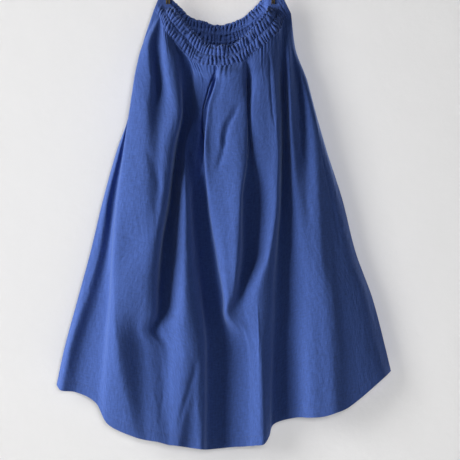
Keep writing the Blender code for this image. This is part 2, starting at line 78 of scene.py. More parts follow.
# %% [markdown]
# ## The fold lines
# Each fold of the front is one line from the waistband to the hem. A line's places at a few levels
# are enough, because the cloth between them is smooth. Reading them off the picture keeps the
# tucks where they are seen, which a simulation would not. The back is hidden in the picture, so its
# folds are simpler: where each stands at the band and at the hem, and how far back it lies.

# %% Tables of the waistband and the folds
BandRow = namedtuple("BandRow", "top_across top_drop top_out low_across low_drop low_out")
FRONT_BAND = (
    BandRow(-114, -24, 1.5, -132, 20, 1.5),
    BandRow(-104, -8, 1.5, -120, 37, 6),
    BandRow(-86, 24, 12.5, -109, 62, 18.5),
    BandRow(-64, 48, 13, -90, 86, 17.5),
    BandRow(-46, 68, 15, -68, 110, 19.5),
    BandRow(-30, 84, 19, -46, 127, 25),
    BandRow(-6, 92, 23, -8, 131, 31),
    BandRow(22, 90, 23, 32, 128, 33),
    BandRow(46, 75, 22, 64, 108, 31),
    BandRow(68, 52, 21, 92, 86, 30.5),
    BandRow(90, 26, 17.5, 116, 66, 24),
    BandRow(106, -8, 1.5, 129, 39, 5),
    BandRow(120, -18, 1.5, 142, 28, 1.5),
)
BACK_BAND = (
    BandRow(-114, -24, -1.5, -132, 20, -1.5),
    BandRow(-104, -10, -1.5, -120, 34, -2.0),
    BandRow(-78, 16, -8, -96, 54, -8),
    BandRow(-56, 36, -15, -72, 74, -14),
    BandRow(-32, 43, -19, -40, 83, -18),
    BandRow(-6, 50, -20, -6, 89, -19),
    BandRow(20, 46, -20, 26, 85, -19),
    BandRow(46, 34, -18, 60, 70, -17),
    BandRow(68, 16, -13, 88, 50, -13),
    BandRow(86, -2, -8, 110, 40, -8),
    BandRow(106, -12, -1.5, 128, 34, -2.0),
    BandRow(120, -18, -1.5, 142, 28, -1.5),
)

LEVELS = (160, 220, 300, 400, 500, 600, 700)
FoldLine = namedtuple("FoldLine", "name band hem across out")
FRONT_FOLDS = (
    FoldLine("side seam, left", -132, 770,
             (-154, -166, -178, -206, -234, -258, -285, -312, -327),
             (-3, -5, -7, -8, -8, -9, -10, -10, -10)),
    FoldLine("strip behind the first tuck", -129.8, 781,
             (-155, -167, -180, -201, -226, -242, -272, -302, -318),
             (3, 3, 3, 4, 4, 1, 3, 5, 5)),
    FoldLine("first valley", -127.6, 784,
             (-153.6, -165, -177.6, -194, -213, -226, -248, -278, -290),
             (5, 5, 4, 1, -2, -4, -3.5, -2.5, 0)),
    FoldLine("under the first tuck", -125.4, 804,
             (-152.4, -164, -176.4, -191, -207, -218, -225, -238, -250),
             (7, 7, 7, 6, 5, 4, 6, 8, 10)),
    FoldLine("first tuck, edge", -123.2, 848,
             (-157, -171.6, -181.2, -191.6, -203.4, -211.4, -217, -222, -225),
             (12, 15, 17, 21, 23, 24, 26, 29, 27)),
    FoldLine("first tuck, crest", -121, 874,
             (-144, -139, -145, -146, -148, -178, -209, -202, -172),
             (24, 28, 32.6, 39.5, 42, 33.5, 33.5, 38.5, 37)),
    FoldLine("left hollow", -118, 880,
             (-125, -123, -124, -125, -127, -144, -164, -162, -150),
             (14, 12, 23, 37, 39.5, 44, 38, 21, 36.5)),
    FoldLine("second tuck, crest", -113, 884,
             (-108, -101, -90.4, -110, -116, -131, -142, -137, -125),
             (28, 29, 35, 40, 40, 43, 37.5, 22.5, 38)),
    FoldLine("second tuck, edge", -102, 888,
             (-92, -83, -78, -95, -106, -121, -130, -118, -110),
             (26, 25.5, 31, 35, 32.5, 33, 31, 20.5, 37.5)),
    FoldLine("first deep valley, left", -95, 890,
             (-79, -74, -73, -86.4, -97.2, -113.6, -119, -105, -103),
             (14, 10, 3, 2, 1, 2, 8, 20.5, 37.5)),
    FoldLine("first deep valley, right", -82, 891,
             (-58, -57, -60, -76.8, -88, -98, -104, -92, -93),
             (13, 7, 2, 7, 7, 5, 9, 28.5, 39.5)),
    FoldLine("third tuck, crest", -65, 892.5,
             (-55, -49, -48, -70, -70, -71, -71, -71, -81),
             (21, 14, 8, 12, 28, 32, 38, 40, 39.5)),
    FoldLine("third tuck, edge", -44, 895,
             (-37, -31, -37, -62, -61.4, -58.4, -54, -48, -65),
             (25, 18.5, 11, 7, 21, 27, 33, 38.5, 32)),
    FoldLine("third tuck, lower ridge", -24, 899,
             (-22, -18, -32, -44, -54, -49.4, -41, -32, -35),
             (28, 20, 11, 4, 6, 11, 20, 27, 36)),
    FoldLine("second deep valley, left", -12, 899,
             (-12.8, -13.4, -29.6, -36.4, -44, -39.2, -31, -22, -22.6),
             (28.5, 17, 9, 0.5, 0.5, 0, 1.5, 5, 14)),
    FoldLine("second deep valley, right", -6, 895,
             (-8, -8.8, -25.6, -31.2, -26, -12, 4, 19, 17),
             (27.5, 15, 10, 3, 2, 1.5, 2, 0.5, 6)),
    FoldLine("fourth tuck, edge", -2, 894,
             (-4, -7.6, -24.4, -30.8, -22, -7, 9, 30, 28),
             (36, 29, 29, 27, 19, 18, 22, 3, 8.5)),
    FoldLine("fourth tuck, face", 5, 893.5,
             (2, 1, -14, -19, -9, 3, 16, 39, 39),
             (38, 31, 29, 25.5, 25, 28.5, 30, 6.5, 11.5)),
    FoldLine("middle, left", 16, 893,
             (14, 16, 6, 4, 14, 18, 22, 47, 49),
             (39, 35, 32.5, 29.5, 31, 33.5, 31, 10.5, 15.5)),
    FoldLine("middle, crest", 32, 892,
             (32, 32, 35, 39, 36, 33.6, 28, 55, 59),
             (39, 35, 34.5, 37, 38.5, 38.5, 29, 15, 20.5)),
    FoldLine("fifth tuck, edge", 46, 892,
             (47, 47.6, 52.8, 53.6, 42, 39, 32.4, 60, 66),
             (36, 32, 33, 33.5, 37, 35, 25, 20, 25)),
    FoldLine("third deep valley, left", 51, 891,
             (52, 54, 56.4, 57.6, 47.6, 49, 38.4, 66, 72),
             (30, 24, 28, 20, 12, 11, 21, 24, 28)),
    FoldLine("third deep valley, right", 55, 891,
             (58, 60.8, 60, 61.6, 70, 67, 46, 71, 78),
             (29, 23, 27, 19, 9, 8, 21, 27, 31)),
    FoldLine("sixth tuck, left", 64, 890.5,
             (67, 68.8, 65.2, 68.4, 88, 85, 58, 76, 82.6),
             (34, 31, 31, 26, 16, 20, 27, 30.5, 33)),
    FoldLine("sixth tuck, crest", 84, 889,
             (84, 88, 92, 104, 110, 100, 76, 83, 88),
             (34, 34, 33, 31, 31, 33, 35, 32, 33)),
    FoldLine("sixth tuck, flank", 106, 873,
             (108, 111, 114, 118, 118, 110, 100, 99, 98.6),
             (28, 30, 31, 32, 27, 26, 28, 20, 23)),
    FoldLine("fourth deep valley, left", 118, 849,
             (122, 122, 126, 125, 124, 118, 115, 111, 107),
             (14, 13, 12, 8, 5, 4, 4, 3, 8)),
    FoldLine("fourth deep valley, right", 125, 835.5,
             (128, 128.4, 133, 134, 135.6, 137, 139, 145, 150),
             (12, 10, 10, 8, 6, 5, 4, 2.5, 5)),
    FoldLine("seventh tuck, crest", 131, 835.5,
             (137, 140, 142, 146, 154, 168, 178, 178, 182),
             (14, 21, 24, 23, 19, 21.5, 23.5, 25.5, 28.5)),
    FoldLine("fifth valley", 134.5, 833.5,
             (143, 154, 162, 170, 174, 184, 196, 200, 208),
             (9, 5, 6, 10, 20, 25.5, 29, 31, 33.5)),
    FoldLine("eighth tuck, crest", 137, 825.5,
             (146, 164, 180, 190, 198, 203, 216, 226, 234),
             (7, 8, 12, 17, 24, 27, 31.5, 34, 35)),
    FoldLine("end of the front", 139, 816,
             (148, 169, 186, 202, 212, 220, 234, 244, 256),
             (4, 6, 9, 13, 16.5, 18, 25.5, 26.5, 25.5)),
    FoldLine("side, right", 140.6, 755,
             (149.2, 173, 189, 211, 235, 257, 289, 310, 329),
             (1, 1, 2, 4, 4, 5, 7, 8, 7)),
    FoldLine("side seam, right", 142, 742,
             (150, 174, 190, 213, 245, 270, 306, 332, 342),
             (-3, -5, -6, -7, -8, -9, -10, -10, -10)),
)

BackFold = namedtuple("BackFold", "at_band at_hem upper lower hem")
BACK_FOLDS = (
    BackFold(0.04, 0.03, 15, 18, 774),
    BackFold(0.11, 0.09, 27, 37, 786),
    BackFold(0.18, 0.17, 20, 24, 802),
    BackFold(0.26, 0.26, 32, 42, 828),
    BackFold(0.33, 0.34, 22, 27, 842),
    BackFold(0.41, 0.42, 31, 44, 850),
    BackFold(0.47, 0.49, 22, 25, 852),
    BackFold(0.55, 0.56, 33, 42, 844),
    BackFold(0.61, 0.63, 23, 27, 830),
    BackFold(0.70, 0.71, 32, 43, 818),
    BackFold(0.77, 0.79, 21, 24, 806),
    BackFold(0.85, 0.88, 28, 37, 786),
    BackFold(0.95, 0.96, 14, 17, 756),
)
print(len(FRONT_FOLDS), "front fold lines,", len(BACK_FOLDS), "back folds")

# %% [markdown]
# ## Smooth curves through the tables
# Down a fold line the cloth should never swing past the places given, so that curve is monotone.
# Across the lines it should roll over like cloth, so that curve may bulge, and it is the centripetal
# kind, which makes no loops where two lines lie close together.

# %% Curves through the fold lines
def eased(share):
    share = np.clip(share, 0.0, 1.0)
    return share * share * (3 - 2 * share)


def bent(s, first, last, gap, lean_first, lean_last):
    """A cubic from first to last while s goes from 0 to 1 over the gap, leaning as given at its ends."""
    start = (1 + 2 * s) * (1 - s) ** 2 * first + s * (1 - s) ** 2 * gap * lean_first
    end = s * s * (3 - 2 * s) * last + s * s * (s - 1) * gap * lean_last
    return start + end


def between(knots, values, at):
    """Values on a smooth curve through the knots that never swings past them."""
    knots, values, at = (np.asarray(a, float) for a in (knots, values, at))
    gap = np.diff(knots)
    slope = np.diff(values) / gap
    lean = np.empty(len(knots))
    lean[0], lean[-1] = slope[0], slope[-1]
    same_way = slope[:-1] * slope[1:] > 0
    mean = 2 * slope[:-1] * slope[1:] / np.where(same_way, slope[:-1] + slope[1:], 1.0)
    lean[1:-1] = np.where(same_way, mean, 0.0)
    i = np.clip(np.searchsorted(knots, at, side="right") - 1, 0, len(gap) - 1)
    s = (at - knots[i]) / gap[i]
    return bent(s, values[i], values[i + 1], gap[i], lean[i], lean[i + 1])


def through(points, steps):
    """A smooth curve through the points, with steps[i] steps from point i to the next."""
    points = np.asarray(points, float)
    gap = np.sqrt(np.maximum(np.linalg.norm(np.diff(points, axis=0), axis=1), 1e-6))[:, None]
    slope = np.diff(points, axis=0) / gap
    lean = np.empty_like(points)
    lean[0], lean[-1] = slope[0], slope[-1]
    whole = (points[2:] - points[:-2]) / (gap[:-1] + gap[1:])
    lean[1:-1] = slope[:-1] - whole + slope[1:]
    made = [points[:1]]
    for i, count in enumerate(steps):
        s = (np.arange(count) + 1)[:, None] / count
        made.append(bent(s, points[i], points[i + 1], gap[i], lean[i], lean[i + 1]))
    return np.concatenate(made)


print("half way between 0 and 10 is", float(between((0, 1), (0, 10), 0.5)))

# %% [markdown]
# ## The waistband's edges
# The band is a strip, so two edges describe it. They are stepped together at even distances, because
# the gathers in an elastic channel are evenly spaced however the band hangs. The panel's top edge
# is tucked a little way up into the band, so that no light shows through the seam.

# %% Edges of the band and the seam under it
WAVE_PITCH = 8.0
BAND_CURVE_STEPS = 24
SEAM_STEPS_PER_WAVE = 3
SEAM_OVERLAP = 1.6


def band_edges(rows, steps_per_wave):
    """The band's top and lower edges, as (across, out, drop) at the same even steps along it."""
    steps = [BAND_CURVE_STEPS] * (len(rows) - 1)
    top = through([(r.top_across, r.top_out, r.top_drop) for r in rows], steps)
    low = through([(r.low_across, r.low_out, r.low_drop) for r in rows], steps)
    run = np.linalg.norm(np.diff((top + low) / 2, axis=0), axis=1)
    length = np.concatenate([[0.0], np.cumsum(run)])
    waves = round(length[-1] / WAVE_PITCH)
    evenly = np.linspace(0, length[-1], waves * steps_per_wave + 1)

    def spaced(edge):
        return np.stack([np.interp(evenly, length, edge[:, k]) for k in range(3)], axis=-1)

    return spaced(top), spaced(low), evenly


def seam_under(rows):
    """Where the panel's top edge lies, just inside the band's lower edge, at any place across."""
    top, low, _ = band_edges(rows, SEAM_STEPS_PER_WAVE)
    downward = low - top
    downward /= np.linalg.norm(downward, axis=1, keepdims=True)
    edge = low - downward * SEAM_OVERLAP

    def place(across):
        out, drop = (np.interp(across, edge[:, 0], edge[:, k]) for k in (1, 2))
        return np.stack([across, out, drop], axis=-1)

    return place


front_seam = seam_under(FRONT_BAND)
back_seam = seam_under(BACK_BAND)
band_length = band_edges(FRONT_BAND, SEAM_STEPS_PER_WAVE)[2][-1]
print("the front of the band is", round(float(band_length)), "mm long")

# %% [markdown]
# ## From fold lines to a grid of points
# A panel is a grid: rows run round the skirt and columns run down it. The columns stand about two
# millimetres apart at the gathers and five at the hem, which is fine enough for a crease and still
# keeps the mesh below the size that a viewer handles easily. The rows crowd together near the band,
# where the cloth is busiest. The back starts a little behind the front's side seams, so that the two
# panels don't share one line at the top.

# %% Grids of the two panels
FINE_TOP_PITCH = 2.1
FINE_HEM_PITCH = 5.2
FEWEST_STEPS = 4
FINE_ROWS = 270
ROW_CROWDING = 1.35
TOP_SEAM_GAP = 3.0
BACK_SETTLES_BY = 0.2


def front_line(fold, share):
    """The fold line's (across, out, drop) at shares of the way from the band to the hem."""
    start = front_seam(np.array(float(fold.band)))
    drops = (start[2], (start[2] + LEVELS[0]) / 2, *LEVELS, fold.hem)
    drop = start[2] + share * (fold.hem - start[2])
    across = between(drops, (start[0], *fold.across), drop)
    out = between(drops, (start[1], *fold.out), drop)
    return np.stack([across, out, drop], axis=-1)


def back_lines(share):
    """The back's lines run between the front's side seams, just behind them near the band."""
    sides = [front_line(fold, share) for fold in (FRONT_FOLDS[0], FRONT_FOLDS[-1])]
    for line in sides:
        line[:, 1] -= TOP_SEAM_GAP * (1 - eased(share / BACK_SETTLES_BY))
    left, right = sides
    lines = [left]
    for fold in BACK_FOLDS:
        at = fold.at_band + (fold.at_hem - fold.at_band) * share
        across = left[:, 0] + (right[:, 0] - left[:, 0]) * at
        start = back_seam(across[0])
        drop = start[2] + share * (fold.hem - start[2])
        out = between((0, BACK_SETTLES_BY, 1), (start[1], -fold.upper, -fold.lower), share)
        lines.append(np.stack([across, out, drop], axis=-1))
    lines.append(right)
    return lines


def grid_over(lines, seam):
    """A fine grid of (across, out, drop) through the fold lines."""
    lines = np.array(lines)
    top = np.linalg.norm(np.diff(lines[:, 0], axis=0), axis=1) / FINE_TOP_PITCH
    hem = np.linalg.norm(np.diff(lines[:, -1], axis=0), axis=1) / FINE_HEM_PITCH
    steps = [max(FEWEST_STEPS, math.ceil(count)) for count in np.maximum(top, hem)]
    seen = np.stack([through(lines[:, row], steps) for row in range(lines.shape[1])])
    seen[0] = seam(seen[0, :, 0])
    return seen


shares = np.linspace(0, 1, FINE_ROWS) ** ROW_CROWDING
front_seen = grid_over([front_line(fold, shares) for fold in FRONT_FOLDS], front_seam)
back_seen = grid_over(back_lines(shares), back_seam)
print("front grid", front_seen.shape[:2], "back grid", back_seen.shape[:2])

# %% [markdown]
# ## Valleys that bend aside
# The feet of two deep valleys swing aside within a few centimetres, which is too quick for the levels
# of the table. Each row here names such a place and moves the folds near it across, most at its
# centre, so that the table of folds can stay short.

# %% Bend the feet of two valleys
Sway = namedtuple("Sway", "across drop reach_across reach_down by")
FRONT_SWAYS = (
    Sway(-122, 660, 36, 26, -19),
    Sway(30, 628, 22, 26, -12),
)


def swayed(seen, sways):
    """The grid with the folds near each sway moved across."""
    moved = seen.copy()
    for sway in sways:
        off = ((seen[..., 0] - sway.across) / sway.reach_across) ** 2
        off += ((seen[..., 2] - sway.drop) / sway.reach_down) ** 2
        moved[..., 0] += sway.by * np.exp(-off)
    return moved


front_straight = front_seen
front_seen = swayed(front_straight, FRONT_SWAYS)
print("moved across by up to", round(float(np.abs(front_seen - front_straight).max()), 1), "mm")

# %% [markdown]
# ## Soft unevenness
# No cloth is as smooth as a curve. A little slow noise, longer down the cloth than across it, gives
# the faint waves that hanging leaves. It is made from a few random values joined smoothly, with a
# fixed seed, so that the skirt is the same each time. The noise has to follow the cloth and not the
# room, so each point's place along its row and down its column is measured too.

# %% Noise and the measure of a grid
def joined_noise(u, v, pitch_u, pitch_v, seed):
    """Smooth noise from -1 to 1 over two coordinates."""
    random = np.random.default_rng(seed)
    a, b = u / pitch_u, v / pitch_v
    a, b = a - a.min(), b - b.min()
    values = random.uniform(-1, 1, (int(a.max()) + 2, int(b.max()) + 2))
    i, j = a.astype(int), b.astype(int)
    s, t = eased(a - i), eased(b - j)
    near = values[i, j] * (1 - t) + values[i, j + 1] * t
    far = values[i + 1, j] * (1 - t) + values[i + 1, j + 1] * t
    return near * (1 - s) + far * s


def measured(points):
    """How far along its row and down its column each point of a grid lies, in the grid's own units."""
    along = np.zeros(points.shape[:2])
    down = np.zeros(points.shape[:2])
    along[:, 1:] = np.cumsum(np.linalg.norm(np.diff(points, axis=1), axis=-1), axis=1)
    down[1:] = np.cumsum(np.linalg.norm(np.diff(points, axis=0), axis=-1), axis=0)
    return along - along[:, -1:] / 2, down


def facing(points):
    """The unit vector square to a grid of points, towards -Y on the front."""
    square = np.cross(np.gradient(points, axis=0), np.gradient(points, axis=1))
    return square / np.maximum(np.linalg.norm(square, axis=-1, keepdims=True), 1e-12)


front_along = measured(as_built(front_seen) / MM)[0]
print("the front's hem is", round(float(np.ptp(front_along[-1]))), "mm along its folds")

# %% [markdown]
# ## Creases
# A crease is a line on the cloth along which it stands out or sinks in. Each row of the table is one
# crease: how wide, how deep (below zero for a trough), and the places that it passes through, as
# across and drop. It is pressed in only near its own line in space, so it never marks the tuck behind,
# and it fades out towards both of its ends. A brush would do this too, but a table can be read, and
# changed by a millimetre.

# %% Press creases into a grid
SEEN_TOGETHER = 1.2
CREASE_STEPS = 8
CREASE_REACH = 3
CREASE_TAPER = 0.3
Crease = namedtuple("Crease", "name width depth path")


def nearest_in_front(seen, across, drop):
    """The grid point seen at (across, drop): the one furthest out of those that lie close to it."""
    off = np.hypot(seen[..., 0] - across, seen[..., 2] - drop)
    close = off < off.min() + SEEN_TOGETHER
    return np.unravel_index(np.argmax(np.where(close, seen[..., 1], -np.inf)), off.shape)


def pressed(seen, points, creases):
    """How far each point of the grid moves out, in millimetres, for all the creases together."""
    moved = np.zeros(seen.shape[:2])
    for crease in creases:
        path = through(crease.path, [CREASE_STEPS] * (len(crease.path) - 1))
        legs = len(path) - 1
        at = np.array([points[nearest_in_front(seen, *place)] for place in path])
        at[1:-1] = (at[:-2] + at[1:-1] + at[2:]) / 3
        reach = CREASE_REACH * crease.width
        low, high = at.min(axis=0) - reach, at.max(axis=0) + reach
        rows, columns = np.nonzero(((points > low) & (points < high)).all(axis=-1))
        here = points[rows, columns]
        best = np.full(len(here), np.inf)
        share = np.zeros(len(here))
        for k in range(legs):
            leg = at[k + 1] - at[k]
            t = np.clip((here - at[k]) @ leg / max(float(leg @ leg), 1e-9), 0, 1)
            off = np.linalg.norm(here - at[k] - t[:, None] * leg, axis=1)
            nearer = off < best
            best[nearer] = off[nearer]
            share[nearer] = (k + t[nearer]) / legs
        taper = eased(np.minimum(share, 1 - share) / CREASE_TAPER)
        moved[rows, columns] += crease.depth * taper * np.exp(-((best / crease.width) ** 2))
    return moved


seen_there = [int(k) for k in nearest_in_front(front_seen, 0, 300)]
print("the cloth seen 300 mm below the clip line is row and column", seen_there)

# %% [markdown]
# ## Where the creases are
# On the front they follow the picture: the forked crease below the middle of the band, the lines
# beside the deep valleys, and the soft troughs near the hem. On the back, which the picture doesn't
# show, they are of the same kinds, and softer.

# %% Tables of creases
FRONT_CREASES = (
    Crease("line in the left strip", 3, -2, ((-246, 500), (-264, 566), (-280, 620))),
    Crease("hollow of the left tuck", 7, -1.6, ((-148, 280), (-136, 320), (-124, 364), (-120, 410))),
    Crease("line pressed across the left tuck", 1.2, -1.1, (
        (-206, 470), (-180, 478), (-150, 484), (-128, 488),
    )),
    Crease("trough near the hem, left", 4, -0.8, ((-112, 770), (-116, 810), (-120, 860))),
    Crease("trough below the third tuck", 5.5, -2.2, (
        (-44, 700), (-51, 744), (-62, 786), (-74, 826), (-82, 876),
    )),
    Crease("ridge beside that trough", 5, 1, ((-34, 700), (-42, 770), (-50, 870))),
    Crease("under the fourth tuck's edge", 1.5, -6, (
        (-7, 134), (-10, 148), (-17, 166), (-24, 182), (-29, 198), (-32, 222), (-34, 262), (-36, 320),
        (-39, 366),
    )),
    Crease("forked crease, ridge", 3, 1.8, ((4, 224), (2, 256), (0, 284), (-2, 310), (-12, 340))),
    Crease("short pleat beside it", 1.5, -3, ((-8, 128), (-7, 150), (-6, 172))),
    Crease("forked crease, trough", 5, -5.2, (
        (42, 196), (26, 228), (12, 256), (6, 292), (-2, 324), (-12, 352),
    )),
    Crease("beside the fifth tuck", 1.5, -6, (
        (52, 116), (56, 132), (57, 156), (57, 200), (58, 252), (57, 300), (54, 340), (49, 380),
    )),
    Crease("lip at the band, middle right", 1.6, 1.2, ((60, 124), (64, 150), (65, 180))),
    Crease("fine pleat of the sixth tuck", 1.8, -1.6, (
        (94, 92), (100, 120), (102, 180), (106, 224), (110, 264),
    )),
    Crease("ridge of the sixth tuck", 3, 1.2, (
        (102, 100), (108, 140), (112, 190), (114, 250), (115, 300),
    )),
    Crease("fine ridge in the middle", 2, 1.2, ((74, 596), (76, 670), (76, 740))),
    Crease("right valley below the band", 2, -2.5, (
        (154, 120), (158, 160), (162, 220), (166, 300), (178, 332),
    )),
    Crease("trough of the right side", 5, -1.2, ((172, 364), (174, 410), (180, 464))),
    Crease("pleat line of the right side", 2.5, -1, ((196, 276), (220, 380), (234, 450), (246, 520))),
    Crease("ridge of the right side", 6, 1.5, (
        (216, 400), (220, 500), (228, 600), (240, 704), (254, 804),
    )),
)
BACK_CREASES = (
    Crease("long line, left", 3, 2.2, ((-150, 210), (-176, 330), (-196, 470), (-205, 590))),
    Crease("short line beside it", 2.5, -1.6, ((-128, 180), (-140, 260), (-146, 330))),
    Crease("soft hollow, left", 8, -2.4, ((-100, 300), (-118, 430), (-112, 560))),
    Crease("wrinkle near the hem, left", 5, 2.4, ((-170, 640), (-150, 700), (-141, 762))),
    Crease("line under the band, left", 2, 2, ((-62, 110), (-66, 170), (-74, 240))),
    Crease("long line, middle left", 2.5, -2.2, ((-40, 150), (-46, 270), (-58, 420), (-60, 520))),
    Crease("forked line, long arm", 3, 2, ((-6, 140), (-10, 230), (4, 330), (8, 460))),
    Crease("forked line, short arm", 3, 1.5, ((34, 210), (22, 270), (6, 330))),
    Crease("soft hollow, middle", 8, -2.2, ((44, 420), (36, 560), (48, 700))),
    Crease("wrinkle near the hem, middle", 4, 1.8, ((-22, 690), (-30, 760), (-24, 815))),
    Crease("line under the band, right", 2, -2, ((62, 105), (70, 180), (84, 250))),
    Crease("long line, right", 3, 2.2, ((104, 190), (122, 320), (128, 470), (150, 610))),
    Crease("short line, right", 2.5, -1.6, ((146, 260), (160, 340), (166, 420))),
    Crease("soft hollow, right", 8, -2.4, ((190, 430), (214, 560), (226, 660))),
    Crease("wrinkle near the hem, right", 5, 2.2, ((110, 660), (124, 720), (120, 780))),
    Crease("side line, right", 2.5, 1.4, ((196, 300), (222, 420), (246, 540))),
)
print(len(FRONT_CREASES), "creases on the front,", len(BACK_CREASES), "on the back")

# %% [markdown]
# ## Gathers under the band
# The cloth leaves the elastic in small pleats eight millimetres apart. Each dies out at its own
# length, some within two centimetres and a few as long as a finger, and they fan out with the cloth.
# One wave along the seam makes them all, and slow noise shifts it and varies its depth and length,
# because cloth that is drawn up on elastic is never quite even.

# %% Gathers at the top of a panel
GATHER_DEPTH = 1.3
SHALLOWEST = 0.35
GATHER_SHARPNESS = 3
GATHER_SHIFT = 1.4
GATHER_SHIFT_PITCH = 19.0
FULLNESS_PITCH = 13.0
SHORTEST_GATHER = 7.0
LONGEST_GATHER = 60.0
LONG_ONES_RARE = 3
GATHER_FADE = 1.3
GATHER_END_FADE = 45.0
FRONT_SEED = 11


def pleats(phase, sharpness):
    """Rounded pleats with pinched valleys between them, from -1 to 1, one for each turn of the phase."""
    return 1 - 2 * np.abs(np.cos(phase / 2)) ** sharpness


def fullness(top, seed):
    """How full the gathers are along the seam, from 0 to 1."""
    return 0.5 + 0.5 * joined_noise(top, np.zeros_like(top), FULLNESS_PITCH, 1.0, seed + 1)


def gather_reach(full):
    """How far down gathers of that fullness reach, in millimetres; only the fullest reach far."""
    return SHORTEST_GATHER + (LONGEST_GATHER - SHORTEST_GATHER) * full ** LONG_ONES_RARE


def gathered(along, down, seed):
    """How far the gathers under the band move each point out, in millimetres."""
    top = along[0] - along[0, 0]
    full = fullness(top, seed)
    shift = GATHER_SHIFT * joined_noise(top, np.zeros_like(top), GATHER_SHIFT_PITCH, 1.0, seed)
    phase = 2 * math.pi * top / WAVE_PITCH + shift
    wave = (SHALLOWEST + (1 - SHALLOWEST) * full) * pleats(phase, GATHER_SHARPNESS)
    ends = np.minimum(top, top[-1] - top)
    fade = np.exp(-((down / gather_reach(full)) ** GATHER_FADE))
    return GATHER_DEPTH * wave * fade * eased(ends / GATHER_END_FADE)


reaches = gather_reach(fullness(front_along[0] - front_along[0, 0], FRONT_SEED))
print("the front's gathers reach down by", reaches.min().round(), "to", reaches.max().round(), "mm")

# %% [markdown]
# ## Making a cloth mesh
# A panel is a single sheet of faces, seen from both sides, with its own coordinates in metres along
# and down the cloth. The weave in the material follows those, so it bends with every fold. The band
# is thicker and its edges show, so it is a closed wall with both faces, rolled thin at its edges like
# folded cloth. It could be one sheet with a thickness added by a modifier, but that would leave the
# edges square.

# %% Grid to mesh
THIN_EDGE = 0.25
ROLLED_ROWS = 4


def linked_piece(name, verts, faces):
    """A smooth piece from lists of vertices and faces, put into the scene."""
    mesh = bpy.data.meshes.new(name)
    mesh.from_pydata(verts, [], faces)
    mesh.shade_smooth()
    piece = bpy.data.objects.new(name, mesh)
    bpy.context.scene.collection.objects.link(piece)
    print(name, sum(len(face) - 2 for face in faces), "triangles")
    return piece


def cloth_mesh(name, points, closed_wall=0.0):
    """A smooth mesh over a grid of points in metres; with a wall, both of its faces and its rim."""
    rows, columns = points.shape[:2]
    along, down = measured(points)
    index = np.arange(rows * columns).reshape(rows, columns)
    corners = (index[:-1, :-1], index[1:, :-1], index[1:, 1:], index[:-1, 1:])
    faces = np.stack(corners, axis=-1).reshape(-1, 4)
    uv = np.stack([along, -down], axis=-1).reshape(-1, 2)
    verts = points.reshape(-1, 3)
    if closed_wall:
        from_edge = np.minimum(np.arange(rows), np.arange(rows)[::-1]) / ROLLED_ROWS
        thick = THIN_EDGE + (1 - THIN_EDGE) * eased(from_edge)
        half = (facing(points) * thick[:, None, None]).reshape(-1, 3) * closed_wall / 2
        other = len(verts)
        rim = np.concatenate([index[0, :-1], index[:-1, -1], index[-1, :0:-1], index[:0:-1, 0]])
        after = np.roll(rim, -1)
        sides = np.stack([rim, after, after + other, rim + other], axis=-1)
        verts = np.concatenate([verts + half, verts - half])
        faces = np.concatenate([faces, faces[:, ::-1] + other, sides])
        uv = np.concatenate([uv, uv])
    piece = linked_piece(name, verts.tolist(), faces.tolist())
    layer = piece.data.uv_layers.new(name="cloth")
    used = np.empty(len(piece.data.loops), np.int32)
    piece.data.loops.foreach_get("vertex_index", used)
    layer.data.foreach_set("uv", uv[used].ravel())
    return piece


# %% [markdown]
# ## The front panel
# All of it together: the grid, the creases, the gathers and the slow noise, each moving the points
# along the direction square to the cloth. The hem is turned up twice, which makes it a little stiffer
# and thicker, so a shallow groove runs where it is stitched. The slow noise starts below the band, and
# nothing moves the side seams, where the two panels meet.

# %% Build the front
HEM_DEPTH = 20.0
HEM_GROOVE = 0.55
HEM_GROOVE_WIDTH = 1.6
CALM_UNDER_BAND = 60.0
CALM_AT_SIDE_SEAM = 10.0
Unevenness = namedtuple("Unevenness", "size along down")
UNEVENNESS = (
    Unevenness(0.5, 26.0, 120.0),
    Unevenness(0.25, 9.0, 34.0),
)


def hem_groove(down):
    """The groove along the hem's stitching, in millimetres."""
    from_hem = down[-1:] - down
    return -HEM_GROOVE * np.exp(-(((from_hem - HEM_DEPTH) / HEM_GROOVE_WIDTH) ** 2))


def panel_points(seen, creases, seed):
    """A panel's points in metres, with everything that marks the cloth."""
    points = as_built(seen) / MM
    along, down = measured(points)
    move = pressed(seen, points, creases) + gathered(along, down, seed) + hem_groove(down)
    away = eased(down / CALM_UNDER_BAND)
    for k, waves in enumerate(UNEVENNESS):
        move += waves.size * away * joined_noise(along, down, waves.along, waves.down, seed + 2 + k)
    edge = np.minimum(along - along[:, :1], along[:, -1:] - along)
    move *= eased(edge / CALM_AT_SIDE_SEAM)
    return (points + facing(points) * move[..., None]) * MM


front_points = panel_points(front_seen, FRONT_CREASES, FRONT_SEED)
skirt_front = cloth_mesh("front_cloth", front_points)

# %% [markdown]
# ## The back panel
# It is the same cloth, cut and gathered in the same way, so the same function makes it. Only its grid,
# its creases and the seed of its noise are its own, so that the two panels are never copies.

# %% Build the back
BACK_SEED = 31
back_points = panel_points(back_seen, BACK_CREASES, BACK_SEED)
skirt_back = cloth_mesh("back_cloth", back_points)

# %% [markdown]
# ## Pleats of the shirred waistband
# Two channels hold flat elastic, and a row of stitches parts them. The cloth over each channel puffs
# out a little and is crowded into rounded pleats with pinched valleys between them. Each channel and
# the ruffle above them get a wave of their own, shifted by noise, because the pleats of one channel
# never quite meet those of the next. One straight wave down the whole band would look like a grille.

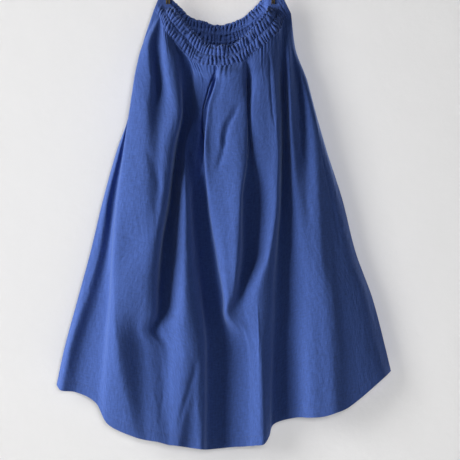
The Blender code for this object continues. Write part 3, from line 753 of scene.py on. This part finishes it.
# %% Pleats of the two channels and the ruffle
STITCH_ROWS = (0.1, 0.5, 0.92)
CHANNEL_PITCHES = (WAVE_PITCH * 0.8, WAVE_PITCH, WAVE_PITCH * 0.92)
CHANNEL_JOINS = (0.08, 0.10)
CHANNEL_SHIFT = 3.2
CHANNEL_SHIFT_PITCHES = (15.0, 18.0)
CHANNEL_SIZE = 0.7
SIZE_VARIES_BY = 0.8
SIZE_PITCHES = (9.0, 8.0)
CHANNEL_SHARPNESS = 2.4


def channel_waves(u, v, seed):
    """Pleats from -1 to 1: each channel and the ruffle have their own, which meet at the stitching."""
    waves = []
    for k, pitch in enumerate(CHANNEL_PITCHES):
        shift = CHANNEL_SHIFT * joined_noise(u, v, *CHANNEL_SHIFT_PITCHES, seed + 10 * k)
        size = CHANNEL_SIZE + SIZE_VARIES_BY * joined_noise(u, v, *SIZE_PITCHES, seed + 10 * k + 1)
        waves.append(size * pleats(2 * math.pi * u / pitch + shift, CHANNEL_SHARPNESS))
    share = v / v.max()
    past_ruffle = eased((share - STITCH_ROWS[0]) / CHANNEL_JOINS[0] + 0.5)
    past_middle = eased((share - STITCH_ROWS[1]) / CHANNEL_JOINS[1] + 0.5)
    upper = waves[0] * (1 - past_ruffle) + waves[1] * past_ruffle
    return upper * (1 - past_middle) + waves[2] * past_middle


print("pleats on the front:", [round(float(band_length / pitch)) for pitch in CHANNEL_PITCHES])

# %% [markdown]
# ## Where the clips press
# A clip's jaws close on the band, press it flat, and hold its two halves together. The band stays flat
# for five millimetres round the jaws, and its pleats come back over the next twelve. The jaws
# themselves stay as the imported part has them.

# %% The cloth in the clips
Clip = namedtuple("Clip", "name across width")
CLIPS = (
    Clip("clip_left", -104.0, 8.0),
    Clip("clip_right", 106.0, 6.4),
)
CLIP_GRIP_DROP = 9.0
FLAT_ROUND_CLIP = 5.0
FLAT_BY_CLIP = 12.0


def clear_of_clips(seen):
    """0 where a clip's jaws press the band flat, rising to 1 a little way from them."""
    free = np.ones(seen.shape[:-1])
    for clip in CLIPS:
        aside = np.maximum(np.abs(seen[..., 0] - clip.across) - clip.width / 2, 0)
        under = np.maximum(seen[..., 2] - CLIP_GRIP_DROP, 0)
        free = np.minimum(free, eased((np.hypot(aside, under) - FLAT_ROUND_CLIP) / FLAT_BY_CLIP))
    return free


print("clips:", [(clip.name, clip.across) for clip in CLIPS])

# %% [markdown]
# ## The two halves of the band
# Each half is a grid between the band's two edges. Its rows puff out over the elastic and are pulled
# in at the stitching. Fine noise crumples it, and the ruffle above the first stitching, which nothing
# holds, waves out and up. Where the picture shows the ruffle standing up in a tuft, a row of the
# table lifts it there.

# %% Build the two halves of the band
BAND_WALL = 2.4
BAND_DEPTH = 40.0
BAND_ROWS = 41
BAND_STEPS_PER_WAVE = 10
BAND_END_FLAT = 14.0
HALF_PINCH = 1.5
PUFF = 1.3
WAVE_DEPTH = 1.7
STITCH_PULL = 0.7
STITCH_PULL_REACH = 0.03
BAND_FRONT_SEED = 51
BAND_BACK_SEED = 61

BandLevel = namedtuple("BandLevel", "share puff gather")
BAND_LEVELS = (
    BandLevel(0.0, 0.0, 0.9),
    BandLevel(0.26, 1.0, 1.0),
    BandLevel(0.5, 0.1, 0.45),
    BandLevel(0.74, 1.0, 1.0),
    BandLevel(1.0, 0.0, 0.7),
)

BandNoise = namedtuple("BandNoise", "size slant along down seed")
CRUMPLE = BandNoise(0.45, 0.5, 3.1, 5.0, 40)
CROSS_WRINKLE = BandNoise(0.7, 0.0, 15.0, 3.0, 70)
RUFFLE_OUT = BandNoise(2.0, 0.0, 4.2, 30.0, 50)
RUFFLE_UP = BandNoise(1.3, 0.0, 5.0, 60.0, 60)

Tuft = namedtuple("Tuft", "across drop radius out rise")
FRONT_TUFTS = (
    Tuft(4, 97, 9, 4.0, 2.0),
    Tuft(44, 84, 7, 3.0, 1.5),
    Tuft(62, 74, 6, 2.5, 1.0),
    Tuft(-38, 82, 6, 2.0, 1.2),
    Tuft(-74, 42, 6, 1.8, 0.8),
)


def band_noise(kind, u, v, seed):
    """Noise of one kind over the band, in millimetres."""
    return kind.size * joined_noise(u + kind.slant * v, v, kind.along, kind.down, seed + kind.seed)


def band_points(rows, side, seed, tufts=()):
    """One half of the band as a grid in metres; side is 1 on the front and -1 on the back."""
    top, low, length = band_edges(rows, BAND_STEPS_PER_WAVE)
    share = np.linspace(0, 1, BAND_ROWS)
    seen = top + (low - top) * share[:, None, None]
    free = clear_of_clips(seen)
    pressed_out = side * HALF_PINCH
    seen[..., 1] = pressed_out + (seen[..., 1] - pressed_out) * free
    ends = np.minimum(length, length[-1] - length)
    free *= eased((ends - WAVE_PITCH / 4) / BAND_END_FLAT)
    levels = [level.share for level in BAND_LEVELS]
    puff = PUFF * between(levels, [level.puff for level in BAND_LEVELS], share)[:, None]
    gather = WAVE_DEPTH * between(levels, [level.gather for level in BAND_LEVELS], share)[:, None]
    u = np.broadcast_to(length, seen.shape[:2])
    v = np.broadcast_to((share * BAND_DEPTH)[:, None], seen.shape[:2])
    rows_off = np.array([np.abs(share - row) for row in STITCH_ROWS]).min(axis=0)[:, None]
    pull = STITCH_PULL * np.exp(-((rows_off / STITCH_PULL_REACH) ** 2))
    ruffle = eased((STITCH_ROWS[0] - share) / STITCH_ROWS[0])[:, None]
    out = side * (puff - pull) + gather * channel_waves(u, v, seed)
    out += band_noise(CRUMPLE, u, v, seed) + band_noise(CROSS_WRINKLE, u, v, seed)
    out += ruffle * band_noise(RUFFLE_OUT, u, v, seed)
    rise = ruffle * band_noise(RUFFLE_UP, u, v, seed)
    for tuft in tufts:
        off = np.hypot(seen[..., 0] - tuft.across, seen[..., 2] - tuft.drop) / tuft.radius
        near = np.exp(-(off ** 2))
        out += tuft.out * near
        rise += tuft.rise * near
    seen[..., 2] -= free * rise
    points = as_built(seen)
    return points + facing(points) * (free * out * MM)[..., None]


band_front_points = band_points(FRONT_BAND, 1, BAND_FRONT_SEED, FRONT_TUFTS)
band_back_points = band_points(BACK_BAND, -1, BAND_BACK_SEED)
band_front = cloth_mesh("band_front_cloth", band_front_points, BAND_WALL * MM)
band_back = cloth_mesh("band_back_cloth", band_back_points, BAND_WALL * MM)

# %% [markdown]
# ## Stitching
# A line of stitches runs round the hem, two centimetres up, and three lines round the band: under
# its ruffle, between its channels and at its lower edge. Each stitch is a short piece of thread that
# comes up out of the cloth and dives back into it. A picture of thread on the cloth would be cheaper,
# but real pieces catch the light from the side.

# %% Make the stitches
STITCH_LENGTH = 3.0
STITCH_STEP = 3.9
THREAD_RADIUS = 0.27
THREAD_SIDES = 5
ThreadRing = namedtuple("ThreadRing", "along lift width")
THREAD_SHAPE = (
    ThreadRing(0.0, -0.35, 0.7),
    ThreadRing(0.2, 0.12, 1.0),
    ThreadRing(0.5, 0.2, 1.0),
    ThreadRing(0.8, 0.12, 1.0),
    ThreadRing(1.0, -0.35, 0.7),
)
CLIP_CLEARANCE = 4.0


def stitch_line(line, outward):
    """The vertices and faces of the stitches along one line of points in millimetres."""
    steps = np.linalg.norm(np.diff(line, axis=0), axis=1)
    travelled = np.concatenate([[0], np.cumsum(steps)])
    starts = np.arange(STITCH_STEP, travelled[-1] - STITCH_STEP, STITCH_STEP)
    share, lift, width = np.array(THREAD_SHAPE).T
    at = starts[:, None] + STITCH_LENGTH * share
    place = np.stack([np.interp(at, travelled, line[:, k]) for k in range(3)], axis=-1)
    up = np.stack([np.interp(at, travelled, outward[:, k]) for k in range(3)], axis=-1)
    up /= np.linalg.norm(up, axis=-1, keepdims=True)
    forward = np.gradient(place, axis=1)
    forward /= np.linalg.norm(forward, axis=-1, keepdims=True)
    aside = np.cross(forward, up)
    turn = 2 * math.pi * np.arange(THREAD_SIDES) / THREAD_SIDES
    place = place + up * lift[:, None]
    round_it = up[..., None, :] * np.cos(turn)[:, None] + aside[..., None, :] * np.sin(turn)[:, None]
    rings = place[..., None, :] + THREAD_RADIUS * width[:, None, None] * round_it
    middle = place[:, len(THREAD_SHAPE) // 2]
    near_clip = np.zeros(len(starts), bool)
    for clip in CLIPS:
        beside = np.abs(middle[:, 0] - clip.across) - clip.width / 2 < CLIP_CLEARANCE
        near_clip |= beside & (-middle[:, 2] < CLIP_LINE_DROP + CLIP_GRIP_DROP)
    rings = rings[~near_clip]
    count, long, sides = rings.shape[:3]
    index = np.arange(count * long * sides).reshape(count, long, sides)
    after = np.roll(index, -1, axis=2)
    walls = np.stack([index[:, :-1], after[:, :-1], after[:, 1:], index[:, 1:]], axis=-1)
    ends = index[:, 0, ::-1].tolist() + index[:, -1].tolist()
    return rings.reshape(-1, 3), walls.reshape(-1, 4).tolist() + ends


def thread_piece(name, lines):
    """One mesh with the stitches of several lines, each a pair of points and outward directions."""
    verts, faces = [], []
    for line, outward in lines:
        more_verts, more_faces = stitch_line(line / MM, outward)
        base = sum(len(some) for some in verts)
        faces += [[base + corner for corner in face] for face in more_faces]
        verts.append(more_verts)
    return linked_piece(name, (np.concatenate(verts) * MM).tolist(), faces)


def hem_line(points, side):
    """The line of the hem's stitching on a panel, and the outward direction along it."""
    down = measured(points / MM)[1]
    row = np.abs(down[-1:] - down - HEM_DEPTH).argmin(axis=0)
    column = np.arange(points.shape[1])
    return points[row, column], side * facing(points)[row, column]


def band_lines(points, side):
    """The three lines of stitching on the outer face of a band."""
    out = side * facing(points)
    rows = [round(share * (BAND_ROWS - 1)) for share in STITCH_ROWS]
    return [(points[row] + out[row] * BAND_WALL / 2 * MM, out[row]) for row in rows]


hem_thread_front = thread_piece("hem_thread_front", [hem_line(front_points, 1)])
hem_thread_back = thread_piece("hem_thread_back", [hem_line(back_points, -1)])
band_thread_front = thread_piece("band_thread_front", band_lines(band_front_points, 1))
band_thread_back = thread_piece("band_thread_back", band_lines(band_back_points, -1))

# %% [markdown]
# ## Finishes
# Every finish here is made of nodes alone, with no picture, so it stays sharp at any distance. A few
# short helpers add a node with its values, tint between two tones, and turn a height into a bump.

# %% Helpers for node trees
def new_material(name):
    material = bpy.data.materials.new(name)
    material.use_nodes = True
    tree = material.node_tree
    return material, tree, tree.nodes["Principled BSDF"]


def set_sockets(node, values):
    """Set the node's unlinked inputs, by their names or numbers."""
    for key, value in values.items():
        node.inputs[key].default_value = value


def add_node(tree, kind, values=None, **settings):
    """A node with its settings, and its unlinked inputs by name or number."""
    node = tree.nodes.new(kind)
    for key, value in settings.items():
        setattr(node, key, value)
    set_sockets(node, values or {})
    return node


def two_tones(tree, source, target, dark, light):
    """Colour the target socket between two tones by the source socket."""
    ramp = add_node(tree, "ShaderNodeValToRGB")
    ramp.color_ramp.elements[0].color = dark
    ramp.color_ramp.elements[1].color = light
    tree.links.new(source, ramp.inputs["Fac"])
    tree.links.new(ramp.outputs["Color"], target)


def bump_from(tree, height, target, strength, distance):
    """Bend the target's normal by the height socket."""
    bump = add_node(tree, "ShaderNodeBump", {"Strength": strength, "Distance": distance})
    tree.links.new(height, bump.inputs["Height"])
    tree.links.new(bump.outputs["Normal"], target)


def new_group(name, inputs, outputs):
    """A node group with named sockets, and its input and output nodes."""
    tree = bpy.data.node_groups.new(name, "ShaderNodeTree")
    for label, kind, value in inputs:
        socket = tree.interface.new_socket(label, in_out="INPUT", socket_type=kind)
        if value is not None:
            socket.default_value = value
    for label, kind in outputs:
        tree.interface.new_socket(label, in_out="OUTPUT", socket_type=kind)
    return tree, tree.nodes.new("NodeGroupInput"), tree.nodes.new("NodeGroupOutput")


print("materials that the packed part brings:", len(bpy.data.materials))

# %% [markdown]
# ## Uneven threads
# The cloth is a matt plain weave of slightly uneven yarn. One node group makes that unevenness from
# the cloth's own coordinates, as a tone and as a height, and each fabric uses it with its own
# strengths. Six stretched noises do it, in pairs: single threads both ways, the clouded look of the
# yarn, and the long fine crinkles that washing leaves. The numbers are waves per metre across and
# down the cloth, and the degrees by which they are turned.

# %% A group for uneven threads
Streaks = namedtuple("Streaks", "across down turn")
THREAD_STREAKS = (
    Streaks(900.0, 60.0, 0),
    Streaks(60.0, 900.0, 0),
    Streaks(330.0, 70.0, 6),
    Streaks(120.0, 260.0, -8),
    Streaks(150.0, 34.0, 16),
    Streaks(130.0, 26.0, -12),
)


def make_weave_group():
    """Uneven threads both ways: a tone near 1, and a height for the bump."""
    tree, inside, outside = new_group(
        "uneven threads",
        (
            ("Vector", "NodeSocketVector", None),
            ("Slub", "NodeSocketFloat", 0.1),
            ("Mottle", "NodeSocketFloat", 0.1),
            ("Thread Height", "NodeSocketFloat", 0.0001),
            ("Crinkle Height", "NodeSocketFloat", 0.0001),
        ),
        (("Tone", "NodeSocketFloat"), ("Height", "NodeSocketFloat")),
    )
    link = tree.links.new
    noises = []
    for streaks in THREAD_STREAKS:
        angle = {"Angle": math.radians(streaks.turn)}
        turned = add_node(tree, "ShaderNodeVectorRotate", angle, rotation_type="Z_AXIS")
        link(inside.outputs["Vector"], turned.inputs["Vector"])
        scale = {1: (streaks.across, streaks.down, 1.0)}
        stretch = add_node(tree, "ShaderNodeVectorMath", scale, operation="MULTIPLY")
        link(turned.outputs[0], stretch.inputs[0])
        noise = add_node(tree, "ShaderNodeTexNoise", {"Scale": 1.0, "Detail": 2.0})
        link(stretch.outputs[0], noise.inputs["Vector"])
        noises.append(noise)

    def added(base, first, second, strength):
        """base plus two noises about zero, times the strength."""
        both = add_node(tree, "ShaderNodeMath", operation="ADD")
        link(noises[first].outputs["Fac"], both.inputs[0])
        link(noises[second].outputs["Fac"], both.inputs[1])
        centred = add_node(tree, "ShaderNodeMath", {1: 1.0}, operation="SUBTRACT")
        link(both.outputs[0], centred.inputs[0])
        total = add_node(tree, "ShaderNodeMath", operation="MULTIPLY_ADD")
        link(centred.outputs[0], total.inputs[0])
        link(inside.outputs[strength], total.inputs[1])
        link(base, total.inputs[2])
        return total.outputs[0]

    one = add_node(tree, "ShaderNodeValue").outputs[0]
    one.default_value = 1.0
    flat = add_node(tree, "ShaderNodeValue").outputs[0]
    flat.default_value = 0.0
    tone = added(added(one, 0, 1, "Slub"), 2, 3, "Mottle")
    height = added(added(flat, 0, 1, "Thread Height"), 4, 5, "Crinkle Height")
    link(tone, outside.inputs["Tone"])
    link(height, outside.inputs["Height"])
    return tree


weave_group = make_weave_group()
print("group sockets:", [item.name for item in weave_group.interface.items_tree])

# %% [markdown]
# ## Blue cotton
# The panels and the band are one cotton, but the band's blue is a little darker, as painted shade for
# the shadows between its gathers. The band is also more clouded and less crinkled, so each has its own
# material from the same function. A little sheen stands for the fine fuzz of cotton, which brightens
# the cloth where it turns away. A velvet would need more, and a plain rough surface looks like paper.

# %% Cloth materials
CLOTH_BLUE = (0.0325, 0.070, 0.250, 1.0)
# The band's blue is a little darker than the panels': painted shade for the shadows between its pleats.
BAND_BLUE_PAINTED_SHADE = (0.0320, 0.067, 0.240, 1.0)


def cloth_material(name, colour, tones, heights):
    """Matt cotton; tones are the strengths of threads and clouds, heights are in millimetres."""
    material, tree, shader = new_material(name)
    link = tree.links.new
    coords = add_node(tree, "ShaderNodeUVMap", uv_map="cloth")
    threads = add_node(tree, "ShaderNodeGroup", node_tree=weave_group)
    set_sockets(threads, {
        "Slub": tones[0],
        "Mottle": tones[1],
        "Thread Height": heights[0] * MM,
        "Crinkle Height": heights[1] * MM,
    })
    link(coords.outputs["UV"], threads.inputs["Vector"])
    tint = add_node(tree, "ShaderNodeVectorMath", {0: colour[:3]}, operation="SCALE")
    link(threads.outputs["Tone"], tint.inputs["Scale"])
    link(tint.outputs["Vector"], shader.inputs["Base Color"])
    height = threads.outputs["Height"]
    bump_from(tree, height, shader.inputs["Normal"], strength=1.0, distance=1.0)
    set_sockets(shader, {
        "Roughness": 0.9,
        "Specular IOR Level": 0.2,
        "Sheen Weight": 0.45,
        "Sheen Roughness": 0.5,
        "Sheen Tint": (0.5, 0.66, 1.0, 1.0),
    })
    return material


panel_cloth = cloth_material("panel_cotton", CLOTH_BLUE, (0.4, 0.5), (0.16, 0.8))
# The band's material takes the darker blue, which is painted shade for the shadows between its pleats.
band_cloth = cloth_material("band_cotton", BAND_BLUE_PAINTED_SHADE, (0.4, 0.7), (0.16, 0.4))
for material, pieces in (
    (panel_cloth, (skirt_front, skirt_back)),
    (band_cloth, (band_front, band_back)),
):
    for piece in pieces:
        piece.data.materials.append(material)
        print(piece.name, "is", material.name)

# %% [markdown]
# ## Sewing thread
# The thread is a twisted cotton of the same blue as the cloth. Its two plies show as slanting bands
# along each stitch, and a wave of bands is enough for that, because a stitch is only three
# millimetres long.

# %% Thread material
def thread_material():
    material, tree, shader = new_material("sewing_thread")
    coords = add_node(tree, "ShaderNodeTexCoord")
    bands = {"Scale": 420.0, "Distortion": 0.6, "Detail": 1.0}
    ply = add_node(tree, "ShaderNodeTexWave", bands, bands_direction="DIAGONAL")
    tree.links.new(coords.outputs["Object"], ply.inputs["Vector"])
    dark, light = (0.020, 0.042, 0.150, 1.0), (0.032, 0.066, 0.225, 1.0)
    two_tones(tree, ply.outputs["Fac"], shader.inputs["Base Color"], dark, light)
    bump_from(tree, ply.outputs["Fac"], shader.inputs["Normal"], strength=0.5, distance=0.0001)
    set_sockets(shader, {"Roughness": 0.7, "Sheen Weight": 0.2})
    return material


sewing_thread = thread_material()
for piece in (hem_thread_front, hem_thread_back, band_thread_front, band_thread_back):
    piece.data.materials.append(sewing_thread)
    print(piece.name, "is", sewing_thread.name)

# %% [markdown]
# ## Wood and brass
# The hanger is plain: a waxed beech bar, and a hook and clips of brass that has dulled in use. Noise
# stretched along the bar makes its grain, and fine round noise mottles the brass.

# %% Hanger materials
def wood_material():
    material, tree, shader = new_material("waxed_beech")
    coords = add_node(tree, "ShaderNodeTexCoord")
    along_bar = {1: (6.0, 90.0, 90.0)}
    stretch = add_node(tree, "ShaderNodeVectorMath", along_bar, operation="MULTIPLY")
    tree.links.new(coords.outputs["Object"], stretch.inputs[0])
    grain = add_node(tree, "ShaderNodeTexNoise", {"Scale": 1.0, "Detail": 5.0, "Roughness": 0.6})
    tree.links.new(stretch.outputs[0], grain.inputs["Vector"])
    dark, light = (0.40, 0.24, 0.13, 1.0), (0.68, 0.48, 0.31, 1.0)
    two_tones(tree, grain.outputs["Fac"], shader.inputs["Base Color"], dark, light)
    set_sockets(shader, {"Roughness": 0.45})
    return material


def brass_material():
    material, tree, shader = new_material("worn_brass")
    coords = add_node(tree, "ShaderNodeTexCoord")
    noise = add_node(tree, "ShaderNodeTexNoise", {"Scale": 220.0, "Detail": 3.0})
    tree.links.new(coords.outputs["Object"], noise.inputs["Vector"])
    dark, light = (0.46, 0.32, 0.13, 1.0), (0.74, 0.56, 0.27, 1.0)
    two_tones(tree, noise.outputs["Fac"], shader.inputs["Base Color"], dark, light)
    set_sockets(shader, {"Metallic": 1.0, "Roughness": 0.35})
    return material


beech = wood_material()
brass = brass_material()
for name, material in (
    ("hanger_bar", beech),
    ("hanger_hook", brass),
    ("clip_left", brass),
    ("clip_right", brass),
):
    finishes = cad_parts[name].data.materials
    finishes.clear()
    finishes.append(material)
    print(name, "is", material.name)

# %% [markdown]
# ## Wall and floor
# The skirt hangs just in front of a pale plastered wall, above a pale floor. Each is one flat piece.
# The wall casts no shadow and is clear from behind, so that the back of the skirt can be lit and
# looked at too.

# %% Wall and floor
WALL_BEHIND = 0.056
WALL_HALF = 2.6
FLOOR_DROP = 1.9


def plaster_material():
    material, tree, shader = new_material("pale_plaster")
    link = tree.links.new
    coords = add_node(tree, "ShaderNodeTexCoord")
    noise = add_node(tree, "ShaderNodeTexNoise", {"Scale": 14.0, "Detail": 6.0, "Roughness": 0.55})
    link(coords.outputs["Object"], noise.inputs["Vector"])
    bump_from(tree, noise.outputs["Fac"], shader.inputs["Normal"], strength=0.35, distance=0.006)
    set_sockets(shader, {
        "Base Color": (0.79, 0.79, 0.80, 1.0),
        "Roughness": 0.9,
        "Specular IOR Level": 0.1,
    })
    side = add_node(tree, "ShaderNodeNewGeometry")
    rays = add_node(tree, "ShaderNodeLightPath")
    through_wall = add_node(tree, "ShaderNodeMath", operation="MAXIMUM")
    link(side.outputs["Backfacing"], through_wall.inputs[0])
    link(rays.outputs["Is Shadow Ray"], through_wall.inputs[1])
    clear = add_node(tree, "ShaderNodeBsdfTransparent")
    mixed = add_node(tree, "ShaderNodeMixShader")
    link(through_wall.outputs[0], mixed.inputs[0])
    link(shader.outputs[0], mixed.inputs[1])
    link(clear.outputs[0], mixed.inputs[2])
    link(mixed.outputs[0], tree.nodes["Material Output"].inputs["Surface"])
    return material


def floor_material():
    material, tree, shader = new_material("pale_floor")
    set_sockets(shader, {"Base Color": (0.78, 0.77, 0.75, 1.0), "Roughness": 0.8})
    return material


def flat_piece(name, corners, material):
    """One flat rectangle for the set, which is not a part of the object."""
    made = linked_piece(name, corners, [(0, 1, 2, 3)])
    made.data.materials.append(material)
    return made


wide = [-WALL_HALF, WALL_HALF, WALL_HALF, -WALL_HALF]
high = [-FLOOR_DROP, -FLOOR_DROP, WALL_HALF, WALL_HALF]
deep = [-WALL_HALF, -WALL_HALF, WALL_HALF, WALL_HALF]
wall_corners = [(x, WALL_BEHIND, z) for x, z in zip(wide, high)]
floor_corners = [(x, y, -FLOOR_DROP) for x, y in zip(wide, deep)]
wall = flat_piece("wall", wall_corners, plaster_material())
floor = flat_piece("floor", floor_corners, floor_material())
print("stage:", wall.name, floor.name)

# %% [markdown]
# ## Light
# A large window at the left gives the folds their soft shadows, and a weak fill from the right keeps
# their far sides from going black. The wall in the picture is lit more evenly than the skirt, so those
# two leave out the wall and the floor, which have lights of their own. One light reaches only the
# back's pieces, whose inner face shows in the open mouth of the band, and one stands behind the skirt
# for looking at its back. One light for everything can't give both the even wall and the deep folds.

# %% Lights
MIDDLE = Vector((EYE_ACROSS * MM, 0, -(CLIP_LINE_DROP + EYE_DROP) * MM))
SKY_STRENGTH = 0.045
Light = namedtuple("Light", "name place size power colour")
WINDOW = Light("window", (-3.36, -1.22, -0.73), 1.9, 294.0, (1.0, 0.985, 0.96))
FILL = Light("fill", (7.6, -2.4, -0.6), 3.0, 96.0, (0.96, 0.98, 1.0))
ROOM_LIGHT = Light("room light", (-2.4, -2.4, 0.2), 2.0, 64.0, (1.0, 0.995, 0.985))
FRONT_LIGHT = Light("front light", (0.2, -3.4, -0.5), 0.6, 56.0, (1.0, 0.995, 0.985))
MOUTH_LIGHT = Light("mouth light", (-1.7, -1.9, 1.5), 0.8, 60.0, (1.0, 0.99, 0.97))
BACK_LIGHT = Light("back", (2.2, 1.7, 0.2), 1.6, 48.0, (1.0, 1.0, 1.0))


def area_light(light, lit=None):
    """A square light that faces the middle of the skirt and lights all, or only one collection."""
    data = bpy.data.lights.new(light.name, "AREA")
    data.size = light.size
    data.energy = light.power
    data.color = light.colour
    made = bpy.data.objects.new(light.name, data)
    made.location = light.place
    made.rotation_euler = (MIDDLE - Vector(light.place)).to_track_quat("-Z", "Y").to_euler()
    made.visible_camera = False
    bpy.context.scene.collection.objects.link(made)
    if lit:
        made.light_linking.receiver_collection = lit


def lit_pieces(name, pieces, state="INCLUDE"):
    """A collection for a light: it reaches these pieces alone, or all but these."""
    made = bpy.data.collections.new(name)
    for piece in pieces:
        made.objects.link(piece)
    for entry in made.collection_objects:
        entry.light_linking.link_state = state
    return made


inside_of_back = lit_pieces("back of the skirt", (band_back, skirt_back))
behind = lit_pieces("wall and floor", (wall, floor))
not_behind = lit_pieces("all but the wall and floor", (wall, floor), "EXCLUDE")
area_light(WINDOW, not_behind)
area_light(FILL, not_behind)
area_light(ROOM_LIGHT, behind)
area_light(FRONT_LIGHT, behind)
area_light(MOUTH_LIGHT, inside_of_back)
area_light(BACK_LIGHT)

world = bpy.data.worlds.new("pale room")
world.use_nodes = True
sky = {"Color": (0.93, 0.96, 1.0, 1.0), "Strength": SKY_STRENGTH}
set_sockets(world.node_tree.nodes["Background"], sky)
bpy.context.scene.world = world

# %% [markdown]
# ## Camera
# It stands where the picture was taken from, level with the middle of the skirt and a little to the
# right of the hook. The standard view shows the blue as the material gives it, where a film-like view
# would wash it out.

# %% Camera
CAMERA_FROM = 3.2
VIEW_WIDTH = 0.92
SENSOR = 36.0
bpy.context.scene.view_settings.view_transform = "Standard"
camera_data = bpy.data.cameras.new("camera")
camera_data.sensor_width = SENSOR
camera_data.lens = SENSOR * CAMERA_FROM / VIEW_WIDTH
camera = bpy.data.objects.new("camera", camera_data)
camera.location = MIDDLE + Vector((0, -CAMERA_FROM, 0))
camera.rotation_euler = (math.radians(90), 0, 0)
bpy.context.scene.collection.objects.link(camera)
bpy.context.scene.camera = camera
print("lens:", round(camera_data.lens, 1), "mm")

# %% [markdown]
# ## Each piece on the part's body
# Every piece of cloth rides on the part's one body and stands for its solid, which is hidden, and its
# thread rides with it. The table also holds each piece's slot, the size that it was cut to, its area
# and what it rests on.

CutPiece = namedtuple("CutPiece", "cloth thread node slot flat area rests_on")
CLIPS_HOLD = ["clip_left", "clip_right"]
CUT_PIECES = (
    CutPiece(skirt_front, hem_thread_front, "skirt_front", "skirt_cloth",
             (0.86, 0.90), 0.66, ["waistband_front"]),
    CutPiece(skirt_back, hem_thread_back, "skirt_back", "skirt_cloth",
             (0.76, 0.86), 0.52, ["waistband_back"]),
    CutPiece(band_front, band_thread_front, "waistband_front", "band_cloth",
             (0.60, 0.04), 0.024, CLIPS_HOLD),
    CutPiece(band_back, band_thread_back, "waistband_back", "band_cloth",
             (0.52, 0.04), 0.0208, CLIPS_HOLD),
)
for cut in CUT_PIECES:
    for piece in (cut.cloth, cut.thread):
        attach(piece, "root")
    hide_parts(cut.node)
